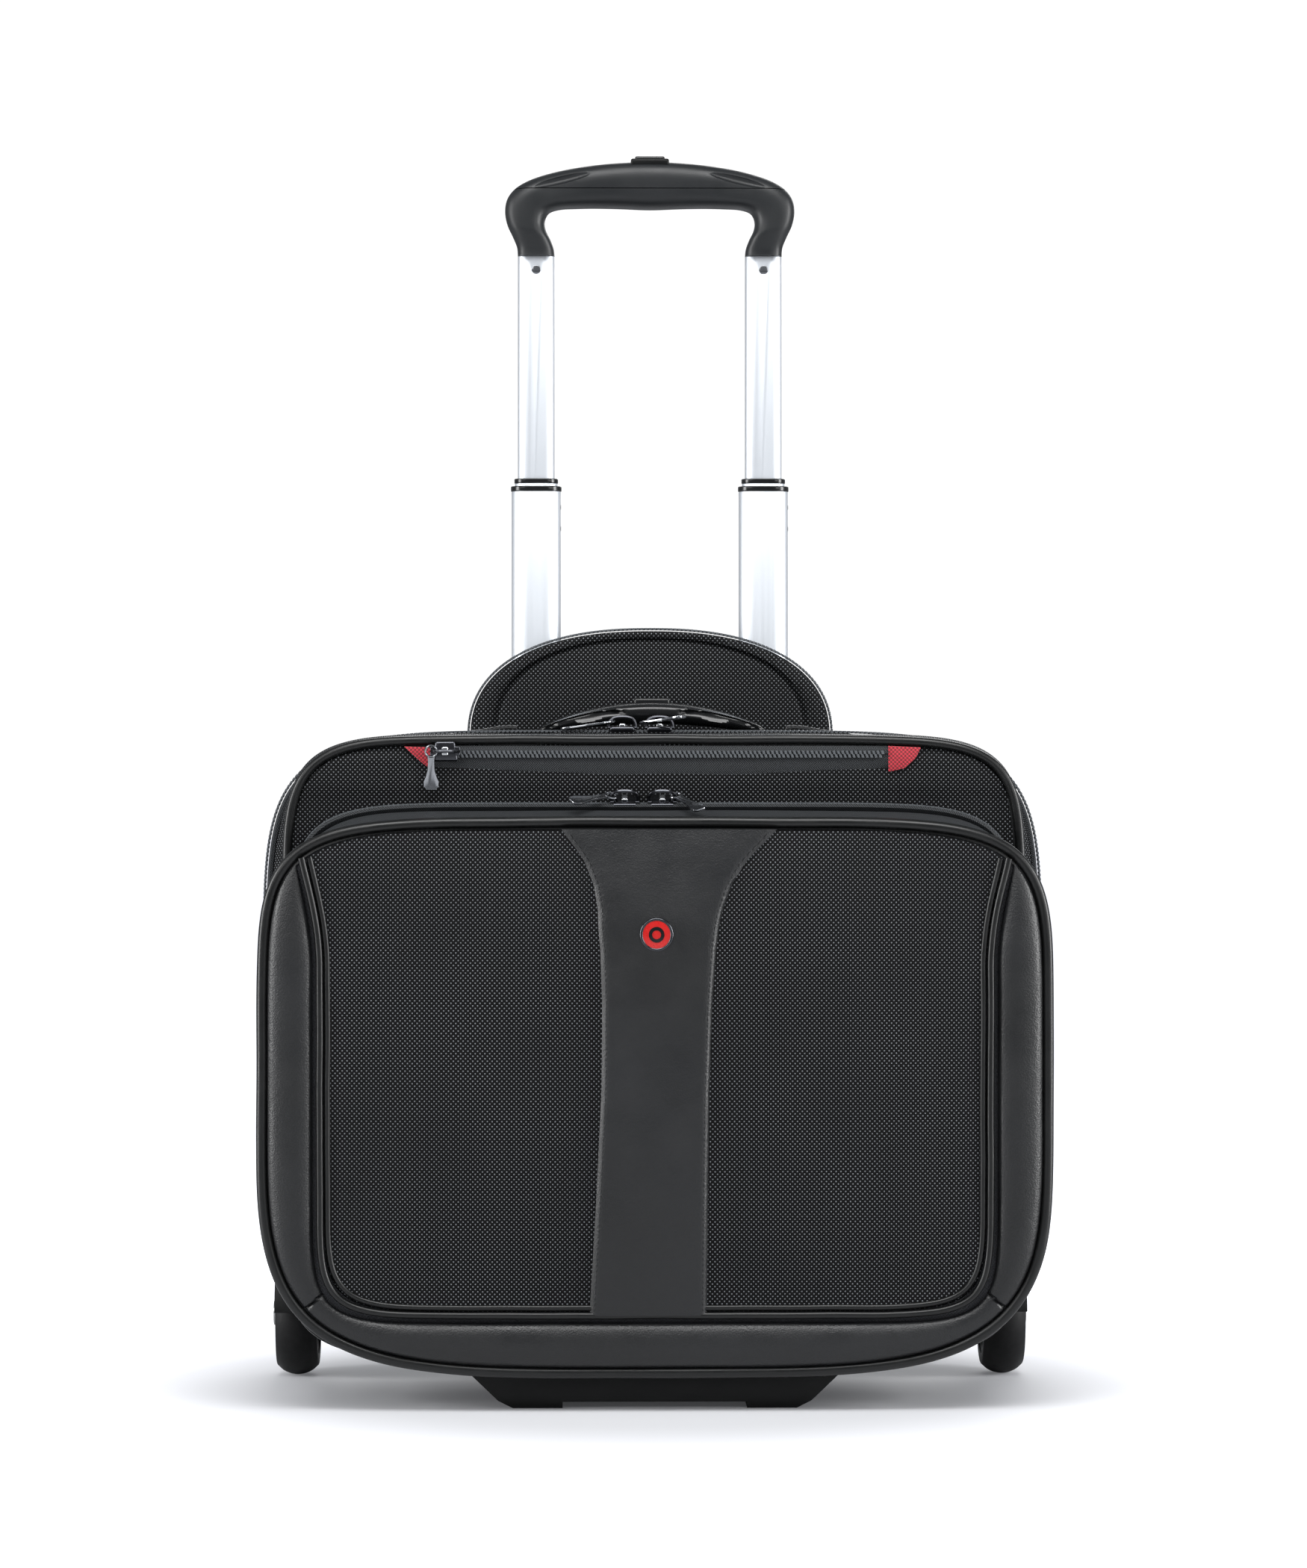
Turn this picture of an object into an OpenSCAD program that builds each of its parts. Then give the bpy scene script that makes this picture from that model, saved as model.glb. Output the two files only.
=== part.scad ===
// Rolling pilot case: a soft two-lid case on two skate wheels, with a telescopic trolley handle.
// X runs to the right, Y to the back and Z up. The origin is on the floor, below the middle of the case.

/* [Case] */
// Half of the width of the rear body
case_half = 213; // [208:1:216]
// Height of the top of the case above the floor
case_top = 365; // [360:1:368]
// Height of the underside of the case
case_floor = 25; // [24:0.5:27]
// Front of the main lid's gusset
lid_front = -66; // [-70:1:-62]
// Plane of the main zip
zip_plane = -20; // [-24:1:-16]
// Rear end of the rear gusset
rear_end = 74; // [72:1:75]
// Thickness of the padded gusset walls
wall = 3; // [2:0.5:4]
// Thickness of the stiffened back panel
back_thick = 5; // [4:0.5:5]
// Height at which the main zip ends on both sides
main_zip_end = 84; // [76:1:92]

/* [Front pocket] */
// Half of the width of the pocket at its piping
pocket_half = 214; // [210:1:216]
// Height of the pocket's top
pocket_top = 320; // [312:1:324]
// Height of the pocket's lower lip
pocket_lip = 19; // [18:0.5:22]
// Plane of the front board's rear face, which is also the hinge line
pocket_front = -102; // [-104:1:-98]
// Height of the hinge line of both lids
hinge_height = 24; // [23:0.5:25]
// Height at which the pocket zip ends on both sides
pocket_zip_end = 70; // [60:1:80]

/* [Trolley handle] */
// Distance between the middles of the left and right tubes
tube_gap = 131; // [128:1:134]
// Plane of the tubes
tube_y = 94; // [93.5:0.5:94.5]
// Width and depth of the outer tube
outer_tube = [28.4, 18.4];
// Width and depth of the middle tube
middle_tube = [24.6, 14.6];
// Width and depth of the inner tube
inner_tube = [21.2, 11.2];
// Thickness of the tubes' walls
tube_wall = 1.2; // [1:0.1:1.2]
// Height of the outer tube's top, partly pulled out
outer_top = 507; // [500:1:515]
// Height of the inner tube's top, at the grip
inner_top = 642.7; // [636:0.1:648]
// Depth of the grip from front to back
grip_depth = 25; // [20:1:25]

/* [Wheels] */
// Radius of the wheels
wheel_r = 35; // [33:0.5:35]
// Width of the tyres
wheel_w = 23.6; // [22:0.2:23.6]
// Middle plane of the right wheel
wheel_x = 201.7; // [201:0.1:202]
// Wheel axle from the middle of the case
axle_y = 80; // [78:1:80]

/* [Hidden] */
$fn = 48;
mid_height = (case_top + case_floor) / 2;
lid_power = 8.5;           // squareness of the main lid's corners
corner_power = 6.5;        // rounder corners of the front pocket
body_power = 6;            // rounder corners of the rear body
lip_power = 4.2;           // softer lower corners of the front pocket
slit = 0.3;                // clearance between neighbours that move
channel = [33, 23];
channel_wall = 1.3;
socket_top = 357;
socket_base = 350;
cover_half = 88;
cover_back = 110;
flap_hinge = [112, 357.5];
flap_back = 117.5;
dome_half = 103;
dome_top = 426;
dome_power = 2.35;
foot_front = -88;
foot_half = 107;
bail = [15.1, 0.7, 5.6];   // distance between its legs, their radius, its height
slider = [14, 11, 3.6];
pull_height = 2.2;         // the pull's eye above the slider
pull_r = 3.7;
pull_length = 27;
slot_pull_length = 21;
handle_r = 152;            // arch of the carry handle
handle_top = 384.5;

// ---- Outlines, drawn in the XZ plane ----

function bow(v, p) = sign(v) * pow(abs(v), 2 / p);

// A rounded outline: a superellipse whose upper and lower halves have their own squareness.
function outline(half, low, high, p_up = corner_power, p_low = corner_power, n = 40) =
    let (c = (low + high) / 2, h = (high - low) / 2)
    [for (i = [0 : n - 1]) let (t = 360 * i / n, p = sin(t) >= 0 ? p_up : p_low)
        [half * bow(cos(t), p), c + h * bow(sin(t), p)]];

function case_outline(inset = 0) =
    outline(case_half - inset, case_floor + inset, case_top - inset, body_power, body_power);

function lid_outline(inset = 0) =
    outline(case_half - 10 - inset, case_floor + inset, case_top - inset, lid_power, lid_power);

function pocket_outline(inset = 0) =
    outline(pocket_half - inset, pocket_lip + inset, pocket_top - inset, corner_power, lip_power);

// Outline of the two fabric fields together. It runs on past the pocket's top.
function field_outline(half) = outline(half, 233 - half, pocket_top + 20, corner_power, 11);

function pocket_wall(inset = 0) =
    outline(211 - inset, case_floor + 0.5 + inset, pocket_top - inset, corner_power, lip_power);

function pocket_zip_outline(inset = 0) =
    outline(195.5 - inset, 33 + inset, 325 - inset, lid_power, lid_power);

function dome_outline(inset = 0, base = case_top, top = dome_top) =
    let (n = 20)
    [for (i = [0 : n]) let (t = 180 * i / n)
        [(dome_half - inset) * bow(cos(t), dome_power), base + (top - inset - base) * bow(sin(t), dome_power)]];

// ---- Shared shapes ----

module slab(y0, y1, points) {
    translate([0, y1, 0]) rotate([90, 0, 0]) linear_extrude(y1 - y0) polygon(points);
}

module band(y0, y1, outer, inner) {
    difference() {
        slab(y0, y1, outer);
        slab(y0 - 1, y1 + 1, inner);
    }
}

module above(z) {
    translate([-300, -200, z]) cube([600, 400, 800]);
}

module below(z) {
    translate([-300, -200, z - 800]) cube([600, 400, 800]);
}

module oval(size, z0, z1) {
    r = size[1] / 2;
    translate([0, 0, z0]) linear_extrude(z1 - z0) union() {
        square([size[0] - 2 * r, size[1]], center = true);
        for (s = [-1, 1]) translate([s * (size[0] / 2 - r), 0]) circle(r);
    }
}

module oval_tube(size, t, z0, z1) {
    difference() {
        oval(size, z0, z1);
        oval([size[0] - 2 * t, size[1] - 2 * t], z0 - 1, z1 + 1);
    }
}

module both_tubes() {
    for (s = [-1, 1]) translate([s * tube_gap / 2, tube_y, 0]) children();
}

module along_x(r, x0, x1) {
    translate([x0, 0, 0]) rotate([0, 90, 0]) cylinder(r = r, h = x1 - x0);
}

module at_axle() {
    translate([0, axle_y, wheel_r]) children();
}

module both_sides() {
    children();
    mirror([1, 0, 0]) children();
}

// ---- Case body ----

module wheel_cut() {
    cut = wheel_r + 6.8;
    both_sides() at_axle() {
        along_x(cut, 184, 240);
        along_x(12, 176, 185);
        translate([184, -cut, -60]) cube([60, 2 * cut, 60]);
    }
}

module back_panel() {
    color([0.09, 0.09, 0.1]) difference() {
        slab(rear_end, rear_end + back_thick, case_outline(1));
        wheel_cut();
    }
}

module rear_gusset() {
    color([0.08, 0.08, 0.09]) difference() {
        band(zip_plane + 2, rear_end, case_outline(), case_outline(wall));
        wheel_cut();
    }
}

module base_gusset() {
    color([0.08, 0.08, 0.09]) intersection() {
        union() {
            band(lid_front, zip_plane - 2, lid_outline(), lid_outline(wall));
            band(zip_plane - 2, zip_plane + 2, case_outline(), lid_outline(wall + 6));
        }
        below(main_zip_end);
    }
}

module foot_bar() {
    bar_top = 17;
    bar_base = 3.4;
    inner = 50;
    toe = 83;
    color([0.05, 0.05, 0.05]) {
        both_sides() difference() {
            slab(foot_front, foot_front + 38, [[inner, 0], [toe - 6, 0], [toe + 2, 4], [foot_half, case_floor],
                [foot_half, case_floor + 1], [inner, case_floor + 1]]);
            slab(lid_front, 0, lid_outline());
            translate([0, foot_front - 1, case_floor]) cube([200, lid_front - foot_front + 1, 10]);
        }
        translate([-inner, foot_front, bar_base]) cube([2 * inner, 20, bar_top - bar_base]);
    }
}

module wheel_housings() {
    rim = wheel_r + 6.8;
    color([0.06, 0.06, 0.06]) both_sides() difference() {
        union() {
            intersection() {
                at_axle() along_x(rim, 184, 213.4);
                translate([180, 30, wheel_r + 4]) cube([40, 68, 80]);
            }
            intersection() {
                at_axle() along_x(rim, 184, 188);
                translate([180, 30, 12]) cube([10, 74, 80]);
            }
            at_axle() along_x(12, 176, 189.5);
        }
        at_axle() along_x(wheel_r + 3, 188, 220);
        at_axle() along_x(4, 170, 200);
    }
    color([0.06, 0.06, 0.06]) both_sides() at_axle() difference() {
        along_x(6.2, 188.01, 189.5);
        along_x(4, 180, 200);
    }
}

module axles() {
    color([0.6, 0.6, 0.62]) both_sides() at_axle() {
        along_x(4, 176, 214.2);
        along_x(7, 213.9, 215.8);
    }
}

// ---- Trolley handle, fixed parts ----

module fixed_channels() {
    color([0.7, 0.7, 0.72]) both_tubes() oval_tube(channel, channel_wall, 44, socket_base);
}

// The bezel at the top of the channels and the bracket below them.
module channel_brackets() {
    color([0.06, 0.06, 0.06]) difference() {
        for (z = [[39, 44], [socket_base, socket_top]])
            translate([-cover_half + wall, rear_end + back_thick, z[0]])
                cube([2 * (cover_half - wall), cover_back - wall - rear_end - back_thick, z[1] - z[0]]);
        both_tubes() oval(outer_tube + [0.6, 0.6], 300, 400);
    }
}

module tube_cover() {
    color([0.09, 0.09, 0.1]) difference() {
        union() {
            translate([-cover_half, rear_end + back_thick, 36])
                cube([2 * cover_half, cover_back - rear_end - back_thick, socket_top - 36]);
            translate([-cover_half, cover_back - 1, socket_top - 8])
                cube([2 * cover_half, flap_hinge[0] - cover_back + 1.2, 8]);
        }
        translate([-cover_half + wall, 0, 39]) cube([2 * (cover_half - wall), cover_back - wall, 400]);
    }
}

module dome_panel() {
    color([0.09, 0.09, 0.1]) difference() {
        slab(70, 78, dome_outline(0, case_top - 3));
        slab(0, 80, case_outline());
    }
}

module dome_zip() {
    color([0.05, 0.05, 0.05]) difference() {
        slab(78, 80, dome_outline());
        slab(77, 81, dome_outline(3, case_top - 5));
    }
}

module laptop_divider() {
    color([0.2, 0.2, 0.22]) intersection() {
        slab(30, 35, case_outline(wall));
        below(290);
    }
}

module main_zip_rear() {
    color([0.05, 0.05, 0.05]) intersection() {
        band(zip_plane + 0.1, zip_plane + 2, case_outline(-1.5), case_outline(wall));
        above(main_zip_end);
    }
}

module handle_tabs() {
    color([0.07, 0.07, 0.07]) both_sides() difference() {
        translate([89, 13, case_top - 3]) cube([19, 20, 5.2]);
        slab(0, 60, case_outline());
    }
}

// ---- Main lid ----

module lid_gusset() {
    color([0.09, 0.09, 0.1]) intersection() {
        union() {
            band(lid_front - slit, zip_plane - 2, lid_outline(), lid_outline(wall));
            band(zip_plane - 5, zip_plane - 2, case_outline(1), lid_outline(wall + 6));
        }
        above(main_zip_end + slit);
    }
}

module main_front_panel() {
    color([0.1, 0.1, 0.11]) slab(lid_front - 4, lid_front - slit, lid_outline(5));
}

module main_piping() {
    color([0.06, 0.06, 0.06])
        band(lid_front - 5, lid_front - slit, lid_outline(), lid_outline(5));
}

module lid_zips() {
    color([0.05, 0.05, 0.05]) {
        intersection() {
            band(zip_plane - 2, zip_plane - 0.1, case_outline(-1.5), case_outline(wall));
            above(main_zip_end + slit);
        }
        intersection() {
            band(-74, lid_front - 4, pocket_zip_outline(), pocket_zip_outline(4));
            above(pocket_zip_end + slit);
        }
    }
}

module slot_zip() {
    color([0.05, 0.05, 0.05]) {
        translate([-122, lid_front - 4.6, 347]) cube([250, 0.6, 11.5]);
        translate([-116, lid_front - 6.2, 352.7]) cube([242, 1.6, 4]);
    }
}

module slot_tabs() {
    color([0.7, 0.08, 0.1]) {
        slab(lid_front - 4.8, lid_front - 4, [[-136, 357.5], [-122.1, 357.5], [-122.1, 346]]);
        slab(lid_front - 4.8, lid_front - 4, [[128.1, 357.5], [141, 357.5], [128.1, 345]]);
    }
}

module pocket_floor() {
    color([0.09, 0.09, 0.1]) intersection() {
        band(pocket_front + 1, lid_front - 5, pocket_wall(), pocket_wall(wall));
        below(pocket_zip_end);
    }
}

// ---- Front pocket lid ----

module pocket_gusset() {
    color([0.09, 0.09, 0.1]) intersection() {
        union() {
            band(pocket_front, -78, pocket_wall(), pocket_wall(wall));
            band(-78, -76, outline(211, case_floor + 0.5, 325), pocket_zip_outline(4));
        }
        above(pocket_zip_end + slit);
    }
}

module pocket_panel() {
    color([0.1, 0.1, 0.11]) {
        slab(pocket_front - 6, pocket_front, pocket_outline(6));
        intersection() {
            slab(pocket_front - 10.5, pocket_front - 6, field_outline(178));
            slab(pocket_front - 11, pocket_front - 5, pocket_outline(7));
        }
    }
}

module leather_border() {
    color([0.13, 0.13, 0.14]) intersection() {
        band(pocket_front - 9.5, pocket_front - 6, pocket_outline(6), field_outline(186));
        below(305);
    }
}

module center_strip() {
    waist = 30;
    flare = 55;
    color([0.13, 0.13, 0.14]) both_sides()
        slab(pocket_front - 13, pocket_front - 10.5, concat([[0, 56], [32, 56], [waist, 130], [waist, 262]],
            [for (t = [15 : 15 : 90])
                [waist + (flare - waist) * (1 - cos(t)), 262 + 48 * sin(t)]],
            [[0, 310]]));
}

module emblem() {
    color([0.8, 0.1, 0.08]) slab(pocket_front - 15.5, pocket_front - 13, outline(9, 248.5, 266.5, 2, 2, 32));
}

module pocket_piping() {
    color([0.06, 0.06, 0.06]) {
        band(pocket_front - 7, pocket_front, pocket_outline(), pocket_outline(6));
        intersection() {
            band(pocket_front - 10, pocket_front - 6, field_outline(186), field_outline(178));
            below(300);
        }
    }
}

module pocket_zip_front() {
    color([0.05, 0.05, 0.05]) intersection() {
        band(-76, -74.2, pocket_zip_outline(), pocket_zip_outline(4));
        above(pocket_zip_end + slit);
    }
}

// ---- Carry handle and the flap that covers the lowered grip ----

module carry_handle() {
    bite = 6;
    inner_r = 323;
    color([0.04, 0.04, 0.05]) {
        intersection() {
            difference() {
                translate([0, 38, handle_top - handle_r]) rotate([90, 0, 0])
                    cylinder(r = handle_r, h = 30, $fn = 128);
                translate([0, 39, case_top + 1 + bite - inner_r]) rotate([90, 0, 0])
                    cylinder(r = inner_r, h = 32, $fn = 160);
            }
            above(case_top + 1);
        }
        translate([-10, 15, handle_top - 3]) cube([20, 16, 5.3]);
        both_sides() translate([68, 13, case_top + 1]) cube([20, 20, 3]);
    }
}

function flap_outline(inset = 0) =
    [for (p = dome_outline(inset, 0, dome_top - case_top + 5)) [p[0], flap_hinge[1] - p[1]]];

module handle_flap() {
    color([0.09, 0.09, 0.1]) slab(flap_back - 4, flap_back, flap_outline());
}

module flap_zip() {
    color([0.05, 0.05, 0.05]) intersection() {
        band(flap_hinge[0] + 0.5, flap_back - 4, flap_outline(), flap_outline(3));
        below(flap_hinge[1] - 6);
    }
}

// ---- Trolley handle, moving parts ----

module tubes(size, z0, z1) {
    color([0.75, 0.76, 0.78]) both_tubes() oval_tube(size, tube_wall, z0, z1);
}

module collars(size, hole, z0, z1) {
    color([0.05, 0.05, 0.05]) both_tubes() difference() {
        oval(size, z0, z1);
        oval(hole + [0.6, 0.6], z0 - 1, z1 + 1);
    }
}

module plugs(size, z0, z1) {
    color([0.15, 0.15, 0.15]) both_tubes() oval(size, z0, z1);
}

module outer_tubes() { tubes(outer_tube, outer_top - 299, outer_top); }
module outer_collars() { collars(outer_tube + [0.8, 0.8], middle_tube, outer_top, outer_top + 3); }
module outer_plugs() { plugs(outer_tube + [1.2, 1.2], outer_top - 311, outer_top - 299); }
module middle_tubes() { tubes(middle_tube, outer_top - 271, outer_top + 4.6); }
module middle_collars() { collars(middle_tube + [0.6, 0.6], inner_tube, outer_top + 4.6, outer_top + 7.4); }
module middle_plugs() { plugs(middle_tube + [0.8, 0.8], outer_top - 281, outer_top - 271); }

module inner_tubes() {
    color([0.78, 0.79, 0.81]) difference() {
        both_tubes() oval_tube(inner_tube, 1.1, inner_top - 254.7, inner_top);
        both_tubes() translate([0, 0, inner_top - 8]) rotate([90, 0, 0]) cylinder(r = 2.6, h = 20);
    }
}

module inner_plugs() {
    color([0.15, 0.15, 0.15]) difference() {
        both_tubes() oval(inner_tube + [0.4, 0.4], inner_top - 264.7, inner_top - 254.7);
        both_tubes() translate([0, 1.5, inner_top - 262]) cylinder(r = 1.9, h = 20);
    }
}

// Front view of one half of the grip, up to the parting plane; its last points close it at the middle.
function grip_half(part_z) = let (c = tube_gap / 2) [
    [c - 10.6, inner_top], [c + 10.6, inner_top], [c + 11.2, inner_top + 8], [c + 15, inner_top + 16],
    [c + 18, inner_top + 23], [c + 17.6, inner_top + 29], [c + 14.5, inner_top + 34.5],
    [c + 10, part_z], [0, part_z], [0, 669.6], [25, 670.4], [48, 670.2], [56.5, 668],
    [c - 5, inner_top + 21], [c - 4.4, inner_top + 18], [c - 6.5, inner_top + 12], [c - 10, inner_top + 7]];

module grip_block(points) {
    both_sides() slab(tube_y - grip_depth / 2, tube_y + grip_depth / 2, points);
}

parting = 681;

module grip_lower() {
    color([0.06, 0.06, 0.06]) difference() {
        union() {
            grip_block(grip_half(parting));
            both_tubes() oval([18.4, 8.4], inner_top - 24, inner_top + 1);
        }
        translate([-70, tube_y - 3, 672.5]) cube([140, 8, 20]);
        translate([-9, tube_y - 7.5, 675.5]) cube([18, 15, 20]);
        both_tubes() translate([0, 1.5, inner_top - 30]) cylinder(r = 1.9, h = 60);
        both_tubes() translate([0, -1.2, inner_top - 8]) rotate([90, 0, 0]) cylinder(r = 1.5, h = 10);
    }
}

module grip_upper() {
    crown = 697;
    arch_r = 247;
    side = [[75.5, parting], [75, 683], [71, 687], [66, crown + 1]];
    color([0.06, 0.06, 0.06]) difference() {
        union() {
            intersection() {
                translate([0, tube_y + grip_depth / 2, crown - arch_r]) rotate([90, 0, 0])
                    cylinder(r = arch_r, h = grip_depth, $fn = 180);
                grip_block(concat([[0, parting]], side, [[0, crown + 1]]));
            }
            translate([-11, tube_y - 9, crown - 4]) cube([22, 18, 5.6]);
        }
        translate([-9, tube_y - 7.5, parting - 1]) cube([18, 15, 40]);
    }
}

module grip_screws() {
    color([0.3, 0.3, 0.3]) both_tubes() translate([0, 0, inner_top - 8]) rotate([90, 0, 0]) {
        translate([0, 0, 1.2]) cylinder(r = 1.5, h = 3.3);
        translate([0, 0, 4.5]) cylinder(r = 2.6, h = 1.1);
    }
}

module release_button() {
    color([0.05, 0.05, 0.05]) translate([-8.6, tube_y - 7.1, 680.5]) cube([17.2, 14.2, 19.5]);
}

module push_rods() {
    color([0.6, 0.6, 0.62]) {
        both_tubes() translate([0, 1.5, inner_top - 256]) cylinder(r = 1.5, h = 291);
        translate([-68, tube_y - 2, 677]) cube([136, 6, 3.5]);
    }
}

// ---- Wheels ----

module tyre() {
    crown_r = 15.6;
    crown = crown_r - sqrt(crown_r * crown_r - wheel_w * wheel_w / 4);
    color([0.09, 0.09, 0.09]) at_axle() translate([wheel_x, 0, 0]) rotate([0, 90, 0]) rotate_extrude($fn = 96)
        polygon(concat([[24, -wheel_w / 2], [wheel_r - crown, -wheel_w / 2]],
            [for (s = [-0.75 : 0.25 : 0.75]) let (z = s * wheel_w / 2)
                [wheel_r - crown_r + sqrt(crown_r * crown_r - z * z), z]],
            [[wheel_r - crown, wheel_w / 2], [24, wheel_w / 2]]));
}

module hub() {
    color([0.2, 0.2, 0.21]) at_axle() difference() {
        along_x(24, wheel_x - 11, wheel_x + 11);
        along_x(9, wheel_x - 20, wheel_x + 20);
        along_x(11, wheel_x - 20, wheel_x - 4);
        along_x(11, wheel_x + 4, wheel_x + 20);
    }
}

module bearings() {
    color([0.7, 0.7, 0.7]) at_axle() for (x = [wheel_x - 11, wheel_x + 4]) difference() {
        along_x(11, x, x + 7);
        along_x(4.03, x - 1, x + 8);
    }
}

module tyre_right() { tyre(); }
module tyre_left() { mirror([1, 0, 0]) tyre(); }
module hub_right() { hub(); }
module hub_left() { mirror([1, 0, 0]) hub(); }
module bearings_right() { bearings(); }
module bearings_left() { mirror([1, 0, 0]) bearings(); }

// ---- Zip sliders and pulls ----

// Each place is [position of the slider's underside, tilt of the tape].
main_left = [[-17, zip_plane, case_top + 1.9], 0];
main_right = [[3.6, zip_plane, case_top + 1.9], 0];
pocket_left = [[-16.3, -75, 327.4], 35];
pocket_right = [[4.2, -75, 327.4], 35];
slot_place = [[-114, lid_front - 6.6, 356.2], 90];

module on_tape(place) {
    translate(place[0]) rotate([place[1], 0, 0]) children();
}

module slider_at(place) {
    r = bail[1];
    color([0.15, 0.15, 0.16]) on_tape(place) {
        translate([-slider[0] / 2, -slider[1] / 2, 0]) cube(slider);
        translate([-bail[0] / 2 - r, -slider[1] / 4, slider[2] - 1]) cube([bail[0] + 2 * r, slider[1] / 2, 1]);
        for (s = [-1, 1]) translate([s * bail[0] / 2, 0, slider[2] - 0.5]) cylinder(r = r, h = bail[2] - 1);
        translate([-bail[0] / 2 - r, -r, slider[2] + bail[2] - 1.5]) cube([bail[0] + 2 * r, 2 * r, 1.5]);
    }
}

// A pull hangs by its eye on the bail's leg at side (-1 left, 1 right). It points along azimuth in the tape's
// plane and its tip is raised by lift.
module pull_at(place, side, azimuth, lift, length = pull_length) {
    color([0.2, 0.2, 0.21]) on_tape(place)
        translate([side * bail[0] / 2, 0, slider[2] + pull_height]) rotate([0, 0, azimuth])
            rotate([0, -lift, 0]) difference() {
                union() {
                    translate([0, 0, -0.6]) cylinder(r = pull_r, h = 1.2);
                    translate([2.8, -2, -0.6]) cube([6, 4, 1.2]);
                    translate([8, -3.6, -0.7]) cube([length - 8, 7.2, 1.4]);
                }
                translate([0, 0, -2]) cylinder(r = 2.5, h = 4);
            }
}

module main_slider_left() { slider_at(main_left); }
module main_slider_right() { slider_at(main_right); }
module pocket_slider_left() { slider_at(pocket_left); }
module pocket_slider_right() { slider_at(pocket_right); }
module slot_slider() { slider_at(slot_place); }
module main_pull_left() { pull_at(main_left, -1, 190, -8); }
module main_pull_right() { pull_at(main_right, -1, -40, 6); }
module pocket_pull_left() { pull_at(pocket_left, -1, 214, 14); }
module pocket_pull_right() { pull_at(pocket_right, 1, -60, 14); }
module slot_pull() { pull_at(slot_place, -1, -90, -8, slot_pull_length); }

back_panel();
rear_gusset();
base_gusset();
foot_bar();
wheel_housings();
axles();
fixed_channels();
channel_brackets();
tube_cover();
dome_panel();
dome_zip();
laptop_divider();
main_zip_rear();
handle_tabs();
lid_gusset();
main_front_panel();
main_piping();
lid_zips();
slot_zip();
slot_tabs();
pocket_floor();
pocket_gusset();
pocket_panel();
leather_border();
center_strip();
emblem();
pocket_piping();
pocket_zip_front();
carry_handle();
handle_flap();
flap_zip();
outer_tubes();
outer_collars();
outer_plugs();
middle_tubes();
middle_collars();
middle_plugs();
inner_tubes();
inner_plugs();
grip_lower();
grip_upper();
grip_screws();
release_button();
push_rods();
tyre_left();
tyre_right();
hub_left();
hub_right();
bearings_left();
bearings_right();
main_slider_left();
main_slider_right();
pocket_slider_left();
pocket_slider_right();
slot_slider();
main_pull_left();
main_pull_right();
pocket_pull_left();
pocket_pull_right();
slot_pull();
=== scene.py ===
"""The looks of a rolling pilot case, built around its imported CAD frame. Lengths are millimetres."""

import math
from bisect import bisect

import bmesh
import bpy
from mathutils import Matrix, Vector, noise


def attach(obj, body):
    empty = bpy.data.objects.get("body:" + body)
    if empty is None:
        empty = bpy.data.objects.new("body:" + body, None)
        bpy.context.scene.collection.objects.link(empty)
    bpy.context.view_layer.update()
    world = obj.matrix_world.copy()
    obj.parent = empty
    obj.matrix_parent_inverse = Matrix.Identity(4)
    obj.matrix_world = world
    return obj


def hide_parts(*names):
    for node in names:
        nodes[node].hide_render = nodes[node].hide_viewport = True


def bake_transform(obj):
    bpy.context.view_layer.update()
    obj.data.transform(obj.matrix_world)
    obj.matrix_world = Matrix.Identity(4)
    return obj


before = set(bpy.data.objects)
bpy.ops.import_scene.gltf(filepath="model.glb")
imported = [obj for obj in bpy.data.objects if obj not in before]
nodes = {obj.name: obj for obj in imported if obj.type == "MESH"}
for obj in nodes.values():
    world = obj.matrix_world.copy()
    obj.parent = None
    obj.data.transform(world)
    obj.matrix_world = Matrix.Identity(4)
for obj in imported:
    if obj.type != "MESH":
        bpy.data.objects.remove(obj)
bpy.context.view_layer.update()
MM = 0.001

# noise_vector takes its offsets from the clock until it is seeded, so the wrinkles are fixed here.
noise.seed_set(7)

# Places that the case's makers would have on their drawing.
CASE_TOP, CASE_FLOOR, CASE_HALF, CASE_POWER = 365, 25, 213, 6
LID_HALF, LID_POWER = 203, 8.5
LID_FRONT, ZIP_PLANE, REAR_END = -66, -20, 74
POCKET_TOP, POCKET_LIP, POCKET_FRONT, POCKET_HALF = 320, 19, -102, 214
POCKET_POWERS = (6.5, 4.2)
MAIN_ZIP_END, POCKET_ZIP_END = 84, 70
TUBE_X, TUBE_Y = 65.5, 94
AXLE_Y, WHEEL_R, WHEEL_X = 80, 35, 201.7
DOME_HALF, DOME_TOP, DOME_POWER, DOME_POINTS = 103, 426, 2.35, 120
FLAP_HINGE_Z, FLAP_DROP = 357.5, 66
COIL_PITCH, COIL_RADIUS, COIL_SLANT = 2.4, 0.85, 0.3

# The studio is laid out in metres, and its lights in watts.
LENS, FILM_HEIGHT = 119.7, 36
CAMERA_AT, CAMERA_TURN = (-0.046, -2.915, 0.3384), -0.917
FLOOR_SIZE, GLOW_START, GLOW_FULL = 60, 0.16, 0.44

# ---------------------------------------------------------------- materials


def linear(code):
    """The linear colour of an sRGB hex code."""
    parts = [int(code[i:i + 2], 16) / 255 for i in (1, 3, 5)]
    return [p / 12.92 if p <= 0.04045 else ((p + 0.055) / 1.055) ** 2.4 for p in parts] + [1.0]


def add(tree, kind, links=None, **settings):
    """Adds a node, sets it up, and fills its sockets with values or with other nodes' outputs."""
    made = tree.nodes.new("ShaderNode" + kind)
    for name, value in settings.items():
        setattr(made, name, value)
    for socket, value in (links or {}).items():
        if isinstance(value, bpy.types.NodeSocket):
            tree.links.new(value, made.inputs[socket])
        elif isinstance(value, bpy.types.Node):
            tree.links.new(value.outputs[0], made.inputs[socket])
        else:
            made.inputs[socket].default_value = value
    return made


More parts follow.
